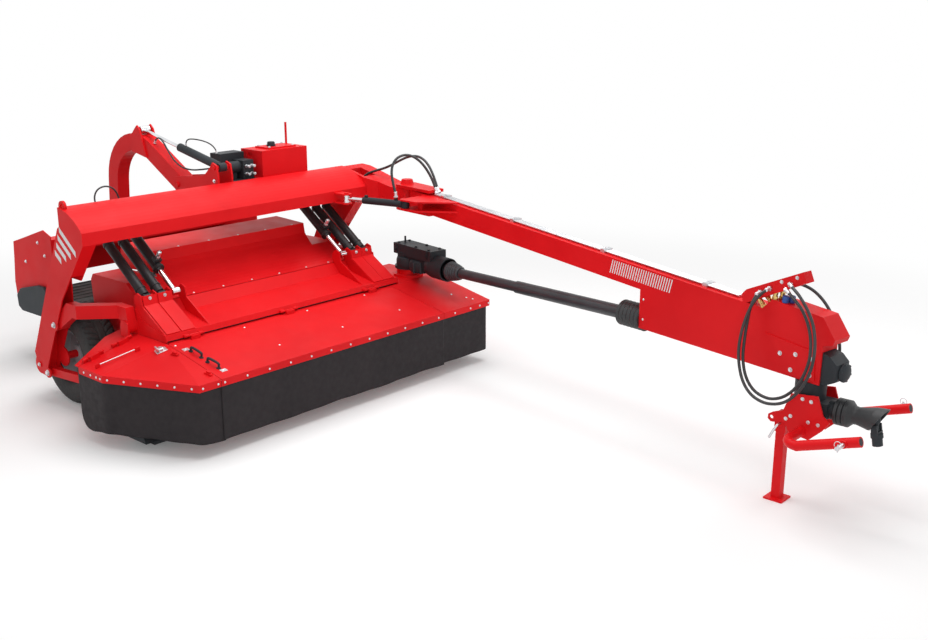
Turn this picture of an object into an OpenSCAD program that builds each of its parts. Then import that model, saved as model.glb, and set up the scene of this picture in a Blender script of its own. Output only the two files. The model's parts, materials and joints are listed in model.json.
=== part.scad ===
// Trailed disc mower conditioner with a swinging drawbar and a rear swath belt.
// X runs to the machine's left, the front faces -Y, Z is up from the ground.

/* [Hood] */
// Overall width of the hood
hood_w = 3400; // [3300:10:3500]
// Height of the flange's lower edge above the ground
flange_z = 508; // [490:1:530]
// Height of the folded flange
flange_h = 54; // [44:1:64]
// Depth of the front flap, from the flange to its hinge
flap_depth = 630; // [600:5:660]
// Rise of the front flap from its flange to its hinge
flap_rise = 126; // [100:2:140]
// Right end of the front flap
flap_right = -1180; // [-1230:5:-1150]
// Left end of the front flap
flap_left = 1110; // [1080:5:1120]
// Front corner cut, across
corner_in = 330; // [280:5:380]
// Front corner cut, along
corner_back = 690; // [640:5:740]
// Thickness of the folded sheets
sheet = 5; // [4:0.5:6]
// Height of the curtains' lower edge
curtain_z = 113; // [90:1:150]
// Thickness of the curtains
curtain_t = 6; // [4:1:8]

/* [Conditioner and cutter bar] */
// Half width of the conditioner hood
cond_half = 1060; // [1020:5:1070]
// Reach of the conditioner's tines
tine_r = 255; // [220:5:265]
// Height of the rotor's axis
rotor_z = 430; // [400:5:450]
// Place of the rotor's axis behind the hood's front edge
rotor_y = 1140; // [1130:5:1160]
// Spacing of the cutting discs
disc_pitch = 378; // [370:1:380]
// Radius of a cutting disc
disc_r = 180; // [160:5:185]
// Reach of the knives
knife_r = 240; // [225:5:245]

/* [Frame] */
// Height of the beam's front face, lower edge
beam_z = 1393; // [1380:1:1410]
// Height of the beam's front face
beam_face = 95; // [85:1:105]
// Front face of the beam behind the hood's front edge
beam_y = 1137; // [1120:1:1145]
// Depth of the beam
beam_d = 312; // [300:1:320]
// Rise of the beam's curved top
beam_rise = 155; // [140:1:170]
// Outer face of the right leg
leg_right = -1500; // [-1520:5:-1490]
// Outer face of the left leg
leg_left = 1315; // [1310:1:1320]
// Width of a leg
leg_w = 110; // [100:1:115]
// Plates of a leg
leg_plate = 10; // [8:1:12]

/* [Wheels] */
// Radius of the tyres
tyre_r = 405; // [395:1:415]
// Width of the tyres
tyre_w = 270; // [250:5:275]
// Radius of the rims
rim_r = 205; // [195:1:215]
// Axle behind the hood's front edge
wheel_y = 1760; // [1750:1:1770]

/* [Drawbar] */
// Drawbar pivot, to the left
pivot_x = 1500; // [1480:5:1520]
// Drawbar pivot, behind the hood's front edge
pivot_y = 800; // [790:5:810]
// Angle of the drawbar to straight ahead, seen from above
drawbar_yaw = -9; // [-12:0.5:-6]
// Length from the pivot to the headstock's axis
drawbar_l = 4250; // [4200:10:4300]
// Width of the drawbar
drawbar_w = 160; // [140:5:180]
// Depth of the drawbar's box
drawbar_h = 160; // [150:1:170]
// Height of the drawbar's top at the pivot
drawbar_z = 1510; // [1505:1:1515]
// Fall of the drawbar's top for each millimetre forward
drawbar_fall = 0.0725; // [0.07:0.0005:0.075]
// Start of the deep front housing in front of the pivot
housing_u = 2865; // [2800:5:2900]
// Height of the front housing's lower edge at its rear end
housing_z = 860; // [850:1:870]

/* [Headstock] */
// Spacing of the yoke's arms
yoke_w = 750; // [720:5:780]
// Radius of the yoke's tube
yoke_r = 32; // [30:1:34]
// Radius of the lower link pins
link_pin_r = 14; // [13.8:0.1:14.2]
// Length of the lower link pins
link_pin_l = 85; // [80:1:90]
// Height of the yoke's cross tube
yoke_z = 520; // [510:1:530]
// Side of the square stand
stand_w = 60; // [55:1:64]
// Radius of the bore in the PTO yoke
pto_bore_r = 17.4; // [17:0.1:18]

/* [Swath belt] */
// Right end of the belt unit
belt_right = -1020; // [-1050:5:-1000]
// Left end of the belt unit
belt_left = 1140; // [1100:5:1180]
// Front of the belt loop
belt_y = 2560; // [2540:5:2580]
// Depth of the belt loop
belt_d = 600; // [580:5:620]
// Height of the belt's lower run
belt_z = 470; // [450:5:490]
// Radius of the belt's rollers with the belt round them
belt_r = 62; // [58:1:66]

/* [Hidden] */
$fn = 48;

paint = "red";
dark = "dimgray";
black = [0.12, 0.12, 0.13];
zinc = "silver";

// Clearance of pins, rods and seats
fit = 0.3;
// Gap between sheets that open
seam = 5;
// Ends of the hood
hood_x = hood_w / 2;
flange_top = flange_z + flange_h;
flap_top = flange_top + flap_rise;
hinge_pin_r = 6;
knuckle_r = 10;
flap_hinge = [flap_depth + 1, flap_top + 24];
end_y = 1050;
rear_y = 1250;
right_hinge_y = 1000;
right_z = 690;
side_z = 690;
// Raised deck behind the front flap: its right and left ends and its profile in y and z
deck_left = 1215;
deck_line = [[flap_depth + 15, flap_top + 14], [660, 742], [960, 805], [1035, 888]];
// Conditioner hood, a hollow rising to a ledge under the beam
cond_top = 1190;
cond_rear = 1800;
cond_arc = arc([1040, 893], [1410, 1105], -46);
cond_high = concat(cond_arc, [[1425, cond_top], [cond_rear, cond_top + 15], [cond_rear + 30, cond_top - 45]]);
cond_low = concat([for (i = [0 : 7]) cond_arc[i]], [[cond_rear, 1006], [cond_rear + 30, 960]]);
// Ends of the hood's raised middle, between the springs
cond_mid = [-780, 815];

// Lift: pivots on the legs, on the towers and on the legs' feet, as [y, z]
lift_pivot = [1670, 700];
tower_pivot = [1060, 745];
foot_pivot = [1845, 275];
link_end = foot_pivot + tower_pivot - lift_pivot;
pin_r = 18;
arm_w = 70;
leg_gap = leg_w - 2 * leg_plate;
arm_right = leg_right + leg_w / 2;
arm_left = leg_left - leg_w / 2;
clevis_right = -1222;

// Springs and lift cylinders, all in one plane: feet on the towers, heads on the hangers
spring_foot = [1000, 960];
spring_head = [1751, 1508];
spring_dir = unit(spring_head - spring_foot);
spring_len = norm(spring_head - spring_foot);
spring_slope = atan2(spring_dir[1], spring_dir[0]);
spring_x = [-1100, -970, 1000, 1120];
lift_x = [-845, 880];
tube_r = 38;
tube_len = 590;
rod_r = 16;
eye_w = 60;

// Swing cylinder, as [x, y]: the barrel's pin on the drawbar and the rod's eye on the beam
swing_base = [1120, 450];
swing_eye = [980, 1030];
swing_z = 1432;
swing_len = norm(swing_eye - swing_base);
swing_turn = atan2(swing_eye[1] - swing_base[1], swing_eye[0] - swing_base[0]);

// Arch arm and its cylinder, as [y, z]
arch_x = 20;
arch_hinge = [2030, 1575];
arch_pin = [2600, 1990];
arch_base = [1500, 1765];
arch_len = norm(arch_pin - arch_base);
arch_slope = atan2(arch_pin[1] - arch_base[1], arch_pin[0] - arch_base[0]);
arch_knee = [2480, 1830];
arch_rise = atan2(arch_knee[1] - arch_hinge[1], arch_knee[0] - arch_hinge[0]);
arch_bend_r = 400;
arch_t = 150;
arch_drop = 470;

// Wheels inboard of the right leg and outboard of the left one
wheel_right = leg_right + leg_w + 12 + tyre_w / 2;
wheel_left = leg_left + 15 + tyre_w / 2;
axle_r = 30;

// Drive line in the drawbar's own plane
gear_z = 845;
shaft_front_u = 2780;
shaft_front_z = 915;
shaft_rear_u = 700;
shaft_r = 50;

// Headstock
head_x = pivot_x + drawbar_l * sin(drawbar_yaw);
head_y = pivot_y - drawbar_l * cos(drawbar_yaw);
arm_tip_y = -500;
arm_tip_z = 130;
pto_z = 660;
pto_joint_y = -430;
pto_droop = 80;
stand_at = [-78, 130];
stand_top = 600;

// The part's origin lies under the middle of its box
arm_rise = atan2(arm_tip_z, -arm_tip_y - 110);
pto_reach = 160 * cos(pto_droop) + 32 * sin(pto_droop);
front_y = head_y + min(arm_tip_y - yoke_r * sin(arm_rise), pto_joint_y - pto_reach);
back_y = 3195;
origin_y = (front_y + back_y) / 2;

function unit(v) = v / norm(v);
function left_of(v) = [-v[1], v[0]];
function miter(p, i) = let (n = len(p) - 1,
    a = left_of(unit(i == 0 ? p[1] - p[0] : p[i] - p[i - 1])),
    b = left_of(unit(i == n ? p[n] - p[n - 1] : p[i + 1] - p[i]))) (a + b) / (1 + a * b);
// Outline of a strip of even thickness on the left side of a line of points
function strip(p, t) = concat(p, [for (i = [len(p) - 1 : -1 : 0]) p[i] + t * miter(p, i)]);
// Points of an arc from a to b that rises by s to the left of the chord
function arc(a, b, s, n = 10) = let (c = norm(b - a), r = (c * c / 4 + s * s) / (2 * s),
    m = (a + b) / 2 - left_of(unit(b - a)) * (r - s), h = asin(c / (2 * r)), t = atan2(a[1] - m[1], a[0] - m[0]))
    [for (i = [0 : n]) m + abs(r) * [cos(t - 2 * h * i / n), sin(t - 2 * h * i / n)]];
function along(a, dir, d, side = 0) = a + d * dir + side * left_of(dir);

module placed() translate([0, -origin_y, 0]) children();
// A profile drawn in y and z, carried along x
module along_x(x0, x1) translate([x0, 0, 0]) rotate([90, 0, 90]) linear_extrude(x1 - x0) children();
module plan(z0, z1) translate([0, 0, z0]) linear_extrude(z1 - z0) children();
// A round bar from a to b
module bar(a, b, r) {
    v = b - a;
    translate(a) rotate([0, acos(v[2] / norm(v)), atan2(v[1], v[0])]) cylinder(r = r, h = norm(v));
}
module pin_x(x0, x1, at, r) translate([x0, at[0], at[1]]) rotate([0, 90, 0]) cylinder(r = r, h = x1 - x0);
// A flat link with round ends, drawn in its own plane
module link(a, b, w) {
    d = unit(b - a);
    polygon([along(a, d, 0, w / 2), along(b, d, 0, w / 2), along(b, d, 0, -w / 2), along(a, d, 0, -w / 2)]);
    translate(a) circle(d = w);
    translate(b) circle(d = w);
}
module disc_at(p, r) translate(p) circle(r = r);
// A folded sheet over triangles, t thick, with rim the outer points in order
module folded(points, triangles, rim, t) {
    n = len(points);
    low = [for (p = points) p - [0, 0, t]];
    faces = concat(triangles, [for (f = triangles) [f[0] + n, f[2] + n, f[1] + n]],
        [for (i = [0 : len(rim) - 1]) let (a = rim[i], b = rim[(i + 1) % len(rim)]) [b, a, a + n, b + n]]);
    polyhedron(concat(points, low), faces);
}
module on_drawbar() translate([pivot_x, pivot_y, 0]) rotate([0, 0, drawbar_yaw]) children();
module on_head() translate([head_x, head_y, 0]) children();
function bar_top(u) = drawbar_z - drawbar_fall * u;
// Height of the front housing's lower edge
function housing_low(u) = housing_z - 0.022 * (u - housing_u);

// Beam section: front fold, curved top, rear face and a rising underside
module beam_section() {
    top = arc([beam_y, beam_z + beam_face], [beam_y + beam_d, beam_z + beam_face + beam_rise], 34);
    polygon(concat([[beam_y, beam_z]], top, [[beam_y + beam_d, beam_z + 70], [beam_y + 40, beam_z]]));
}

module main_beam() color(paint) placed() {
    along_x(leg_right + leg_w, leg_left - leg_w) beam_section();
    for (z = [swing_z - 45, swing_z + 33]) plan(z, z + 12) difference() {
        union() {
            translate([swing_eye[0] - 45, swing_eye[1]]) square([90, beam_y - swing_eye[1]]);
            disc_at(swing_eye, 45);
        }
    }
    for (z = [swing_z - 53, swing_z + 45]) translate([swing_eye[0], swing_eye[1], z]) cylinder(r = 22, h = 8);
}

module horn_plan() {
    polygon([[leg_left, 1160], [leg_left, 1449], [1570, 1449], [1610, 1380], [pivot_x + 95, pivot_y],
        [pivot_x - 95, pivot_y], [1370, 1040]]);
    disc_at([pivot_x, pivot_y], 95);
}

module pivot_horn() color(paint) placed() difference() {
    union() {
        intersection() {
            plan(1300, 1700) horn_plan();
            along_x(leg_left, 1700) polygon([[690, 1350], [690, 1498], [900, 1498], [1300, 1600], [1449, 1636],
                [1449, 1400], [1000, 1350]]);
        }
        translate([pivot_x, pivot_y, 1345]) cylinder(r = 95, h = 155);
        translate([pivot_x, pivot_y, 1321]) cylinder(r = 40, h = 204);
    }
    // Opening for the hoses
    translate([1345, 1180, 1450]) cube([130, 190, 300]);
}

module leg_outline() {
    polygon([[beam_y, beam_z], [1511, 926], [1882, 245], [1960, 250], [2020, 415], [1449 + 30, 1480], [1449, 1500]]);
    beam_section();
    disc_at([1950, 322], 74);
    disc_at(lift_pivot, 48);
    disc_at(foot_pivot, 42);
}
module leg(x0, inner, notch) {
    difference() {
        union() {
            along_x(x0, x0 + leg_w) leg_outline();
            along_x(inner, inner + leg_plate) hull() {
                disc_at([wheel_y, tyre_r], 78);
                disc_at([1890, 480], 50);
            }
        }
        along_x(x0 + leg_plate, x0 + leg_w - leg_plate)
            polygon([[1300, 1130], [1540, 1130], [1815, 620], [1900, 300], [1890, 190], [1400, 190], [1200, 900]]);
        // Room for the cranked arm on the inner side
        if (notch) along_x(inner - 1, inner + leg_plate + 1) polygon([[1300, 1080], [1530, 1080], [1545, 860], [1400, 860]]);
    }
    for (p = [lift_pivot, foot_pivot]) pin_x(x0, x0 + leg_w, p, pin_r);
    pin_x(x0 - 6, x0 + leg_w + 6, [1955, 322], 24);
}
module legs() color(paint) placed() {
    leg(leg_right, leg_right + leg_w - leg_plate, true);
    leg(leg_left - leg_w, leg_left - leg_plate, false);
    wheel_axles();
    // Lifting eye on the right end
    along_x(leg_right + 20, leg_right + 40) difference() {
        disc_at([1420, 1650], 42);
        disc_at([1420, 1655], 18);
    }
}

module wheel_axles() {
    pin_x(leg_right + leg_w, wheel_right + 20, [wheel_y, tyre_r], axle_r);
    pin_x(leg_left, wheel_left + 20, [wheel_y, tyre_r], axle_r);
}

module tyre(x) translate([x, wheel_y, tyre_r]) rotate([0, 90, 0]) rotate_extrude($fn = 96) {
    h = tyre_w / 2;
    polygon([[rim_r, -h + 45], [rim_r + 30, -h + 12], [rim_r + 90, -h], [tyre_r - 45, -h + 4], [tyre_r - 12, -h + 28],
        [tyre_r, -h + 60], [tyre_r, h - 60], [tyre_r - 12, h - 28], [tyre_r - 45, h - 4], [rim_r + 90, h],
        [rim_r + 30, h - 12], [rim_r, h - 45]]);
}
// Rim with its hub, which turns on the axle's end
module rim(x) translate([x, wheel_y, tyre_r]) rotate([0, 90, 0]) difference() {
    union() {
        rotate_extrude() {
            h = tyre_w / 2 - 45;
            polygon([[rim_r - fit, -h], [rim_r - fit, h], [rim_r - 14, h], [rim_r - 28, h - 50], [rim_r - 28, -h + 50],
                [rim_r - 14, -h]]);
            translate([0, 4]) square([rim_r - 20, 12]);
        }
        translate([0, 0, -45]) cylinder(r = 62, h = 90);
    }
    translate([0, 0, -60]) cylinder(r = axle_r + fit, h = 80 + fit);
}
module tyre_right() color(black) placed() tyre(wheel_right);
module rim_right() color(zinc) placed() rim(wheel_right);
module tyre_left() color(black) placed() tyre(wheel_left);
module rim_left() color(zinc) placed() rim(wheel_left);

module hanger_plates(list) for (x = list) along_x(x - 5, x + 5)
    polygon([[beam_y + beam_d, 1535], [beam_y + beam_d, 1610], [1720, 1590], [1785, 1550], [1795, 1500], [1765, 1468],
        [1715, 1476], [1650, 1535]]);
module spring_hangers() {
    side = eye_w / 2 + 5 + fit;
    for (x = concat(spring_x, lift_x)) hanger_plates([x - side, x + side]);
    for (x = lift_x) pin_x(x - side - 12, x + side + 12, spring_head, pin_r);
    for (x = spring_x, s = [-1, 1]) pin_x(x + s * (side + 9) - 6, x + s * (side + 9) + 6, spring_head, 24);
}

module beam_brackets() color(paint) placed() {
    spring_hangers();
    arch_bracket();
    pin_x(arch_x - 85, arch_x + 85, arch_base, 20);
}

module oil_tank() color(paint) placed() {
    translate([430, beam_y + beam_d + 0.1, 1612]) cube([540, 380, 14]);
    difference() {
        translate([450, 1500, 1625]) cube([500, 290, 230]);
        translate([440, 1640, 1790]) cube([20, 60, 40]);
    }
    translate([560, 1540, 1855]) cube([300, 190, 14]);
    translate([900, 1720, 1855]) cylinder(r = 10, h = 195);
}

module valve_block() color(dark) placed() {
    translate([150, beam_y + beam_d + 0.1, 1612]) cube([270, 400, 14]);
    translate([160, 1700, 1625]) cube([250, 140, 215]);
    translate([290, 1560, 1625]) cube([110, 150, 160]);
    translate([190, 1630, 1730]) rotate([0, 90, 0]) cylinder(r = 50, h = 110);
    translate([220, 1610, 1625]) cube([40, 40, 70]);
}

module arch_bracket() for (x = [arch_x - 77, arch_x + 62]) along_x(x, x + 15)
    difference() {
        polygon([[beam_y + beam_d, 1480], [beam_y + beam_d, 1700], [1465, 1790], [1520, 1810], [1550, 1770],
            [1640, 1690], [2060, 1640], [2095, 1570], [2060, 1515], [2000, 1510], [1600, 1480]]);
        disc_at(arch_hinge, 25 + fit);
    }

// Drawbar side view: box, sloped front and deep housing
// The front cheeks stand above the beam's top
cheek_rise = 76;
module drawbar_side() {
    nose = drawbar_l + 95;
    top = bar_top(nose);
    polygon([[-150, bar_top(150)], [-rack_u - 200, bar_top(rack_u + 200)], [-rack_u - 270, bar_top(rack_u + 270) + cheek_rise],
        [-nose, top + cheek_rise - 8], [-nose - 95, top - 58], [-nose - 82, top - 92], [-nose - 15, top - 112],
        [-nose - 10, housing_low(nose)], [-housing_u, housing_low(housing_u)], [-housing_u, bar_top(housing_u) - drawbar_h],
        [-150, bar_top(150) - drawbar_h]]);
}
module drawbar_beam() color(paint) placed() on_drawbar() {
    half = drawbar_w / 2;
    difference() {
        along_x(-half, half) drawbar_side();
        // The front housing is open below between its cheeks
        along_x(-half + 10, half - 10) polygon([[-housing_u - 60, housing_low(housing_u) - 20],
            [-housing_u - 60, bar_top(housing_u) - drawbar_h + 12], [-drawbar_l + 320, bar_top(drawbar_l) - drawbar_h],
            [-drawbar_l - 200, bar_top(drawbar_l) - drawbar_h], [-drawbar_l - 200, housing_low(drawbar_l) - 60]]);
        // Room for the drive shaft through the housing's rear wall
        translate([0, -housing_u + 20, shaft_front_z]) rotate([90, 0, 0]) cylinder(r = 60, h = 120);
    }
    // Fork round the frame's pivot
    for (z = [[1301, 1320], [1500 + fit, 1526]]) plan(z[0], z[1]) difference() {
        union() {
            disc_at([0, 0], 100);
            polygon([[-100, 0], [100, 0], [half, -420], [-half, -420]]);
        }
        disc_at([0, 0], 40 + fit);
    }
    translate([0, 0, 1526]) cylinder(r1 = 62, r2 = 48, h = 40);
    // Cheek for the swing cylinder
    p = swing_local();
    for (z = [swing_z - 45, swing_z + 33]) plan(z, z + 12) {
        polygon([[p[0] - 45, p[1]], [p[0] + 45, p[1] + 40], [-half + 10, p[1] + 60], [-half + 10, p[1] - 420],
            [p[0] - 20, p[1] - 150]]);
        disc_at(p, 45);
    }
    translate([p[0], p[1], swing_z - 45]) cylinder(r = pin_r, h = 90);
    along_x(p[0] + 60, p[0] + 70) translate([p[1] - 150, swing_z - 40]) square([60, 75]);
    hose_rack();
    // Doubler plates over the swivel
    for (x = [-half - 8, half]) along_x(x, x + 8) polygon([[-drawbar_l + 310, 1075], [-drawbar_l - 60, 1035], [-drawbar_l - 75, 850],
        [-drawbar_l + 130, 845], [-drawbar_l + 190, 960]]);
}
// Swing cylinder's pin in the drawbar's own frame
function swing_local() = let (d = swing_base - [pivot_x, pivot_y], c = cos(-drawbar_yaw), s = sin(-drawbar_yaw))
    [d[0] * c - d[1] * s, d[0] * s + d[1] * c];

pipe_r = 7;
module oil_pipes() color(zinc) placed() on_drawbar() {
    u0 = 440;
    u1 = drawbar_l - 570;
    for (i = [0 : 3]) bar([-30 + 20 * i, -u0, bar_top(u0) + pipe_r + 6], [-30 + 20 * i, -u1, bar_top(u1) + pipe_r + 6], pipe_r);
    for (u = [560, 1450, 2450, 3400]) translate([-45, -u, bar_top(u) + 0.2]) rotate([atan(drawbar_fall), 0, 0])
        translate([0, -20, 0]) cube([90, 40, 2 * pipe_r + 12]);
}

rack_u = 3700;
module hose_rack() {
    half = drawbar_w / 2;
    z = bar_top(rack_u);
    // Box arm leaning forward from the beam's top
    along_x(-half, 0) polygon([[-rack_u - 50, z - 17], [-rack_u - 510, z + 208], [-rack_u - 480, z + 273],
        [-rack_u - 70, z + 84], [-rack_u - 35, z + 48]]);
}

module upper_gearbox() color(dark) placed() on_drawbar() {
    half = drawbar_w / 2 - 10.1;
    top = bar_top(drawbar_l) - drawbar_h;
    mid = -drawbar_l - 75;
    intersection() {
        along_x(-half, half) polygon([[-drawbar_l + 240, 850], [-drawbar_l + 240, top], [-drawbar_l - 90, top],
            [-drawbar_l - 160, top - 18], [-drawbar_l - 210, top - 62], [-drawbar_l - 230, top - 120], [-drawbar_l - 208, top - 172],
            [-drawbar_l - 140, 835], [-drawbar_l + 100, 835]]);
        plan(800, 1100) {
            disc_at([0, mid], 150);
            translate([-half - 5, mid]) square([2 * half + 10, 400]);
        }
    }
    translate([0, -drawbar_l, 826]) cylinder(r = 66, h = 12);
    translate([0, -drawbar_l, 814]) cylinder(r = 98, h = 13);
}

// Rubber boot with folds, open towards the shaft
module boot(r, l, folds, wall) rotate([90, 0, 0]) rotate_extrude() {
    step = l / folds;
    outer = [for (i = [0 : folds - 1]) each [[r, i * step], [r - 10, (i + 0.5) * step]]];
    polygon(concat(outer, [[r, l], [r - wall, l], [r - wall, 0]]));
}
// Cross pin of the drive shaft's front joint
cross_l = 110;
cross_r = 18;
module boot_front() color(black) placed() on_drawbar() difference() {
    translate([0, -housing_u, shaft_front_z]) {
        translate([0, 215, 0]) boot(95, 215, 6, 22);
        rotate([-90, 0, 0]) cylinder(r = 80, h = housing_u - shaft_front_u - 8);
    }
    translate([0, -shaft_front_u, shaft_front_z]) {
        sphere(r = 40 + fit);
        pin_x(-cross_l / 2 - fit, cross_l / 2 + fit, [0, 0], cross_r + fit);
    }
}

module swing_cylinder(part) placed() translate([swing_base[0], swing_base[1], swing_z]) rotate([0, 0, swing_turn]) {
    if (part == "barrel") difference() {
        union() {
            translate([0, 0, -30]) cylinder(r = 34, h = 60);
            translate([25, 0, 0]) rotate([0, 90, 0]) cylinder(r = 30, h = 395);
            translate([80, -12, 20]) cube([24, 24, 26]);
            translate([380, -12, 20]) cube([24, 24, 26]);
        }
        translate([0, 0, -40]) cylinder(r = pin_r + fit, h = 80);
        translate([90, 0, 0]) rotate([0, 90, 0]) cylinder(r = 18 + fit, h = 400);
    }
    else {
        translate([400, 0, 0]) rotate([0, 90, 0]) cylinder(r = 18, h = swing_len - 430);
        translate([swing_len, 0, -32.7]) cylinder(r = 32, h = 65.4);
    }
}
module swing_barrel() color(dark) swing_cylinder("barrel");
module swing_rod() color(zinc) swing_cylinder("rod");

module lower_gearbox() color(dark) placed() on_head() {
    translate([0, 0, 700]) cylinder(r = 98, h = 814 - 700 - fit);
    translate([-80, -150, 610]) cube([160, 200, 100]);
    translate([0, -140, pto_z]) rotate([90, 0, 0]) cylinder(r = 62, h = 40);
}
plate_x = 122;
module headstock_plates() {
    for (s = [-1, 1]) along_x(s * plate_x - 6, s * plate_x + 6)
        difference() {
            polygon([[67, 747], [-108, 767], [-151, 647], [-198, 615], [-150, 548], [-69, 470], [68, 490], [92, 545],
                [190, 530], [213, 548], [210, 578], [185, 596], [113, 625]]);
            disc_at([188, 562], 13);
        }
    translate([-plate_x, -130, 590]) cube([2 * plate_x, 180, 20]);
    // Sleeve of the stand
    translate([stand_at[0], stand_at[1], 470]) difference() {
        translate([-38, -38, 0]) cube([76, 76, 120]);
        translate([-stand_w / 2 - fit, -stand_w / 2 - fit, -1]) cube([stand_w + 2 * fit, stand_w + 2 * fit, 122]);
    }
}

// Yoke: a tube across, bent forward into two arms that rise to their tips
module hitch_yoke() {
    half = yoke_w / 2;
    bend = 90;
    rise = atan2(arm_tip_z, -arm_tip_y - bend);
    pin_x(-half + bend - 2, half - bend + 2, [-20, yoke_z], yoke_r);
    for (s = [-1, 1]) {
        translate([s * (half - bend), -20 - bend, yoke_z]) rotate([0, 0, s > 0 ? 0 : 90])
            rotate_extrude(angle = 90) translate([bend, 0]) circle(r = yoke_r - 0.6);
        translate([s * half, -20 - bend, yoke_z]) sphere(r = yoke_r + 0.6);
        bar([s * half, -20 - bend, yoke_z], [s * half, arm_tip_y, yoke_z + arm_tip_z], yoke_r);
        out = half + yoke_r + 8;
        at = [arm_tip_y + 90, yoke_z + arm_tip_z * (-arm_tip_y - 90 - 110) / (-arm_tip_y - 110)];
        pin_x(s > 0 ? half : -out, s > 0 ? out : -half, at, 24);
        pin_x(s > 0 ? half : -out - link_pin_l, s > 0 ? out + link_pin_l : -half, at, link_pin_r);
    }
}

module headstock() color(paint) placed() on_head() {
    headstock_plates();
    hitch_yoke();
}

module pto_guard() color(black) placed() on_head() translate([0, -180, pto_z]) rotate([90, 0, 0]) difference() {
    union() {
        translate([0, 0, 120]) cylinder(r = 18, h = 120);
        rotate_extrude() polygon([[0, 0], [72, 0], [86, 10], [86, 28], [79, 33], [86, 38], [86, 58], [79, 63], [86, 68], [86, 88],
            [58, 118], [56, 140], [66, 190], [80, 250], [86, 325], [81, 325], [74, 250], [60, 192], [50, 150], [0, 150]]);
    }
    translate([0, 0, 250]) {
        sphere(r = 30 + fit);
        // Room below for the hanging yoke
        rotate([pto_droop, 0, 0]) translate([0, 0, 26]) cylinder(r = 58, h = 200);
    }
    // Mouth cut back below
    along_x(-100, 100) polygon([[92, 328], [-92, 215], [-92, 340], [92, 340]]);
}

module pto_yoke() color(dark) placed() on_head() translate([0, pto_joint_y, pto_z]) rotate([90 + pto_droop, 0, 0])
    difference() {
        union() {
            sphere(r = 30);
            cylinder(r = 16, h = 90);
            for (s = [-1, 1]) translate([s * 34 - 6, -20, 26]) cube([12, 40, 52]);
            translate([-40, -22, 70]) cube([80, 44, 16]);
            translate([0, 0, 84]) cylinder(r = 38, h = 26);
            translate([0, 0, 110]) cylinder(r = 32, h = 50);
        }
        translate([0, 0, 85]) cylinder(r = pto_bore_r, h = 90);
    }

module stand() color(paint) placed() on_head() translate([stand_at[0], stand_at[1], 0]) {
    translate([-stand_w / 2, -stand_w / 2, 12]) difference() {
        cube([stand_w, stand_w, stand_top - 12]);
        translate([5, 5, 4]) cube([stand_w - 10, stand_w - 10, stand_top]);
    }
    translate([-65, -65, 0]) cube([130, 130, 12]);
}

module arm_side() difference() {
    union() {
        polygon([[1706, 732], [1490, 905], [1040, 902], [1013, 760], [1013, 740], [1106, 740], [1125, 800], [1425, 800],
            [1636, 666]]);
        disc_at(lift_pivot, 46);
        disc_at(tower_pivot, 46);
    }
    disc_at(lift_pivot, pin_r + fit);
    disc_at(tower_pivot, pin_r + fit);
}
module lift_arms() color(paint) placed() {
    h = arm_w / 2;
    along_x(arm_left - h, arm_left + h) arm_side();
    intersection() {
        along_x(arm_right - h, clevis_right + h) arm_side();
        plan(600, 1000) polygon([[arm_right - h, 1800], [arm_right + h, 1800], [arm_right + h, 1410],
            [clevis_right + h, 1200], [clevis_right + h, 980], [clevis_right - h, 980], [clevis_right - h, 1150],
            [arm_right - h, 1360]]);
    }
}

module lower_links() color(paint) placed() for (x = [arm_right, arm_left]) along_x(x - 25, x + 25) difference() {
    link(foot_pivot, link_end, 64);
    disc_at(foot_pivot, pin_r + fit);
    disc_at(link_end, pin_r + fit);
}

// A round bar in the springs' plane between two distances from the feet
module in_spring(x, d0, d1, r) bar([x, along(spring_foot, spring_dir, d0)[0], along(spring_foot, spring_dir, d0)[1]],
    [x, along(spring_foot, spring_dir, d1)[0], along(spring_foot, spring_dir, d1)[1]], r);
module spring_tubes() color(black) placed() for (x = spring_x) difference() {
    union() {
        in_spring(x, 20, tube_len, tube_r);
        pin_x(x - eye_w / 2, x + eye_w / 2, spring_foot, 30);
    }
    in_spring(x, 110, tube_len + 5, rod_r + 0.4);
    pin_x(x - 60, x + 60, spring_foot, pin_r + fit);
}
module spring_rods() color(zinc) placed() for (x = spring_x) {
    in_spring(x, 320, spring_len - 15, rod_r);
    pin_x(x - eye_w / 2, x + eye_w / 2, spring_head, 30);
}
module lift_barrels() color(black) placed() for (x = lift_x) difference() {
    union() {
        in_spring(x, 230, spring_len - 150, 40);
        in_spring(x, spring_len - 160, spring_len, 27);
        pin_x(x - eye_w / 2, x + eye_w / 2, spring_head, 30);
    }
    in_spring(x, 220, spring_len - 170, 20 + fit);
    pin_x(x - 60, x + 60, spring_head, pin_r + fit);
}
module lift_rods() color(zinc) placed() for (x = lift_x) {
    in_spring(x, 15, 480, 20);
    pin_x(x - eye_w / 2, x + eye_w / 2, spring_foot, 30);
}

// Slanted hinge of the right flap, with its own x along the pin
right_slope = atan2(right_z - flange_top, hood_x + flap_right - seam);
right_hinge_x = [-150, -400];
module on_right_hinge() translate([flap_right - seam, right_hinge_y + seam / 2, right_z + 22])
    rotate([0, -right_slope, 0]) children();

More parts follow.
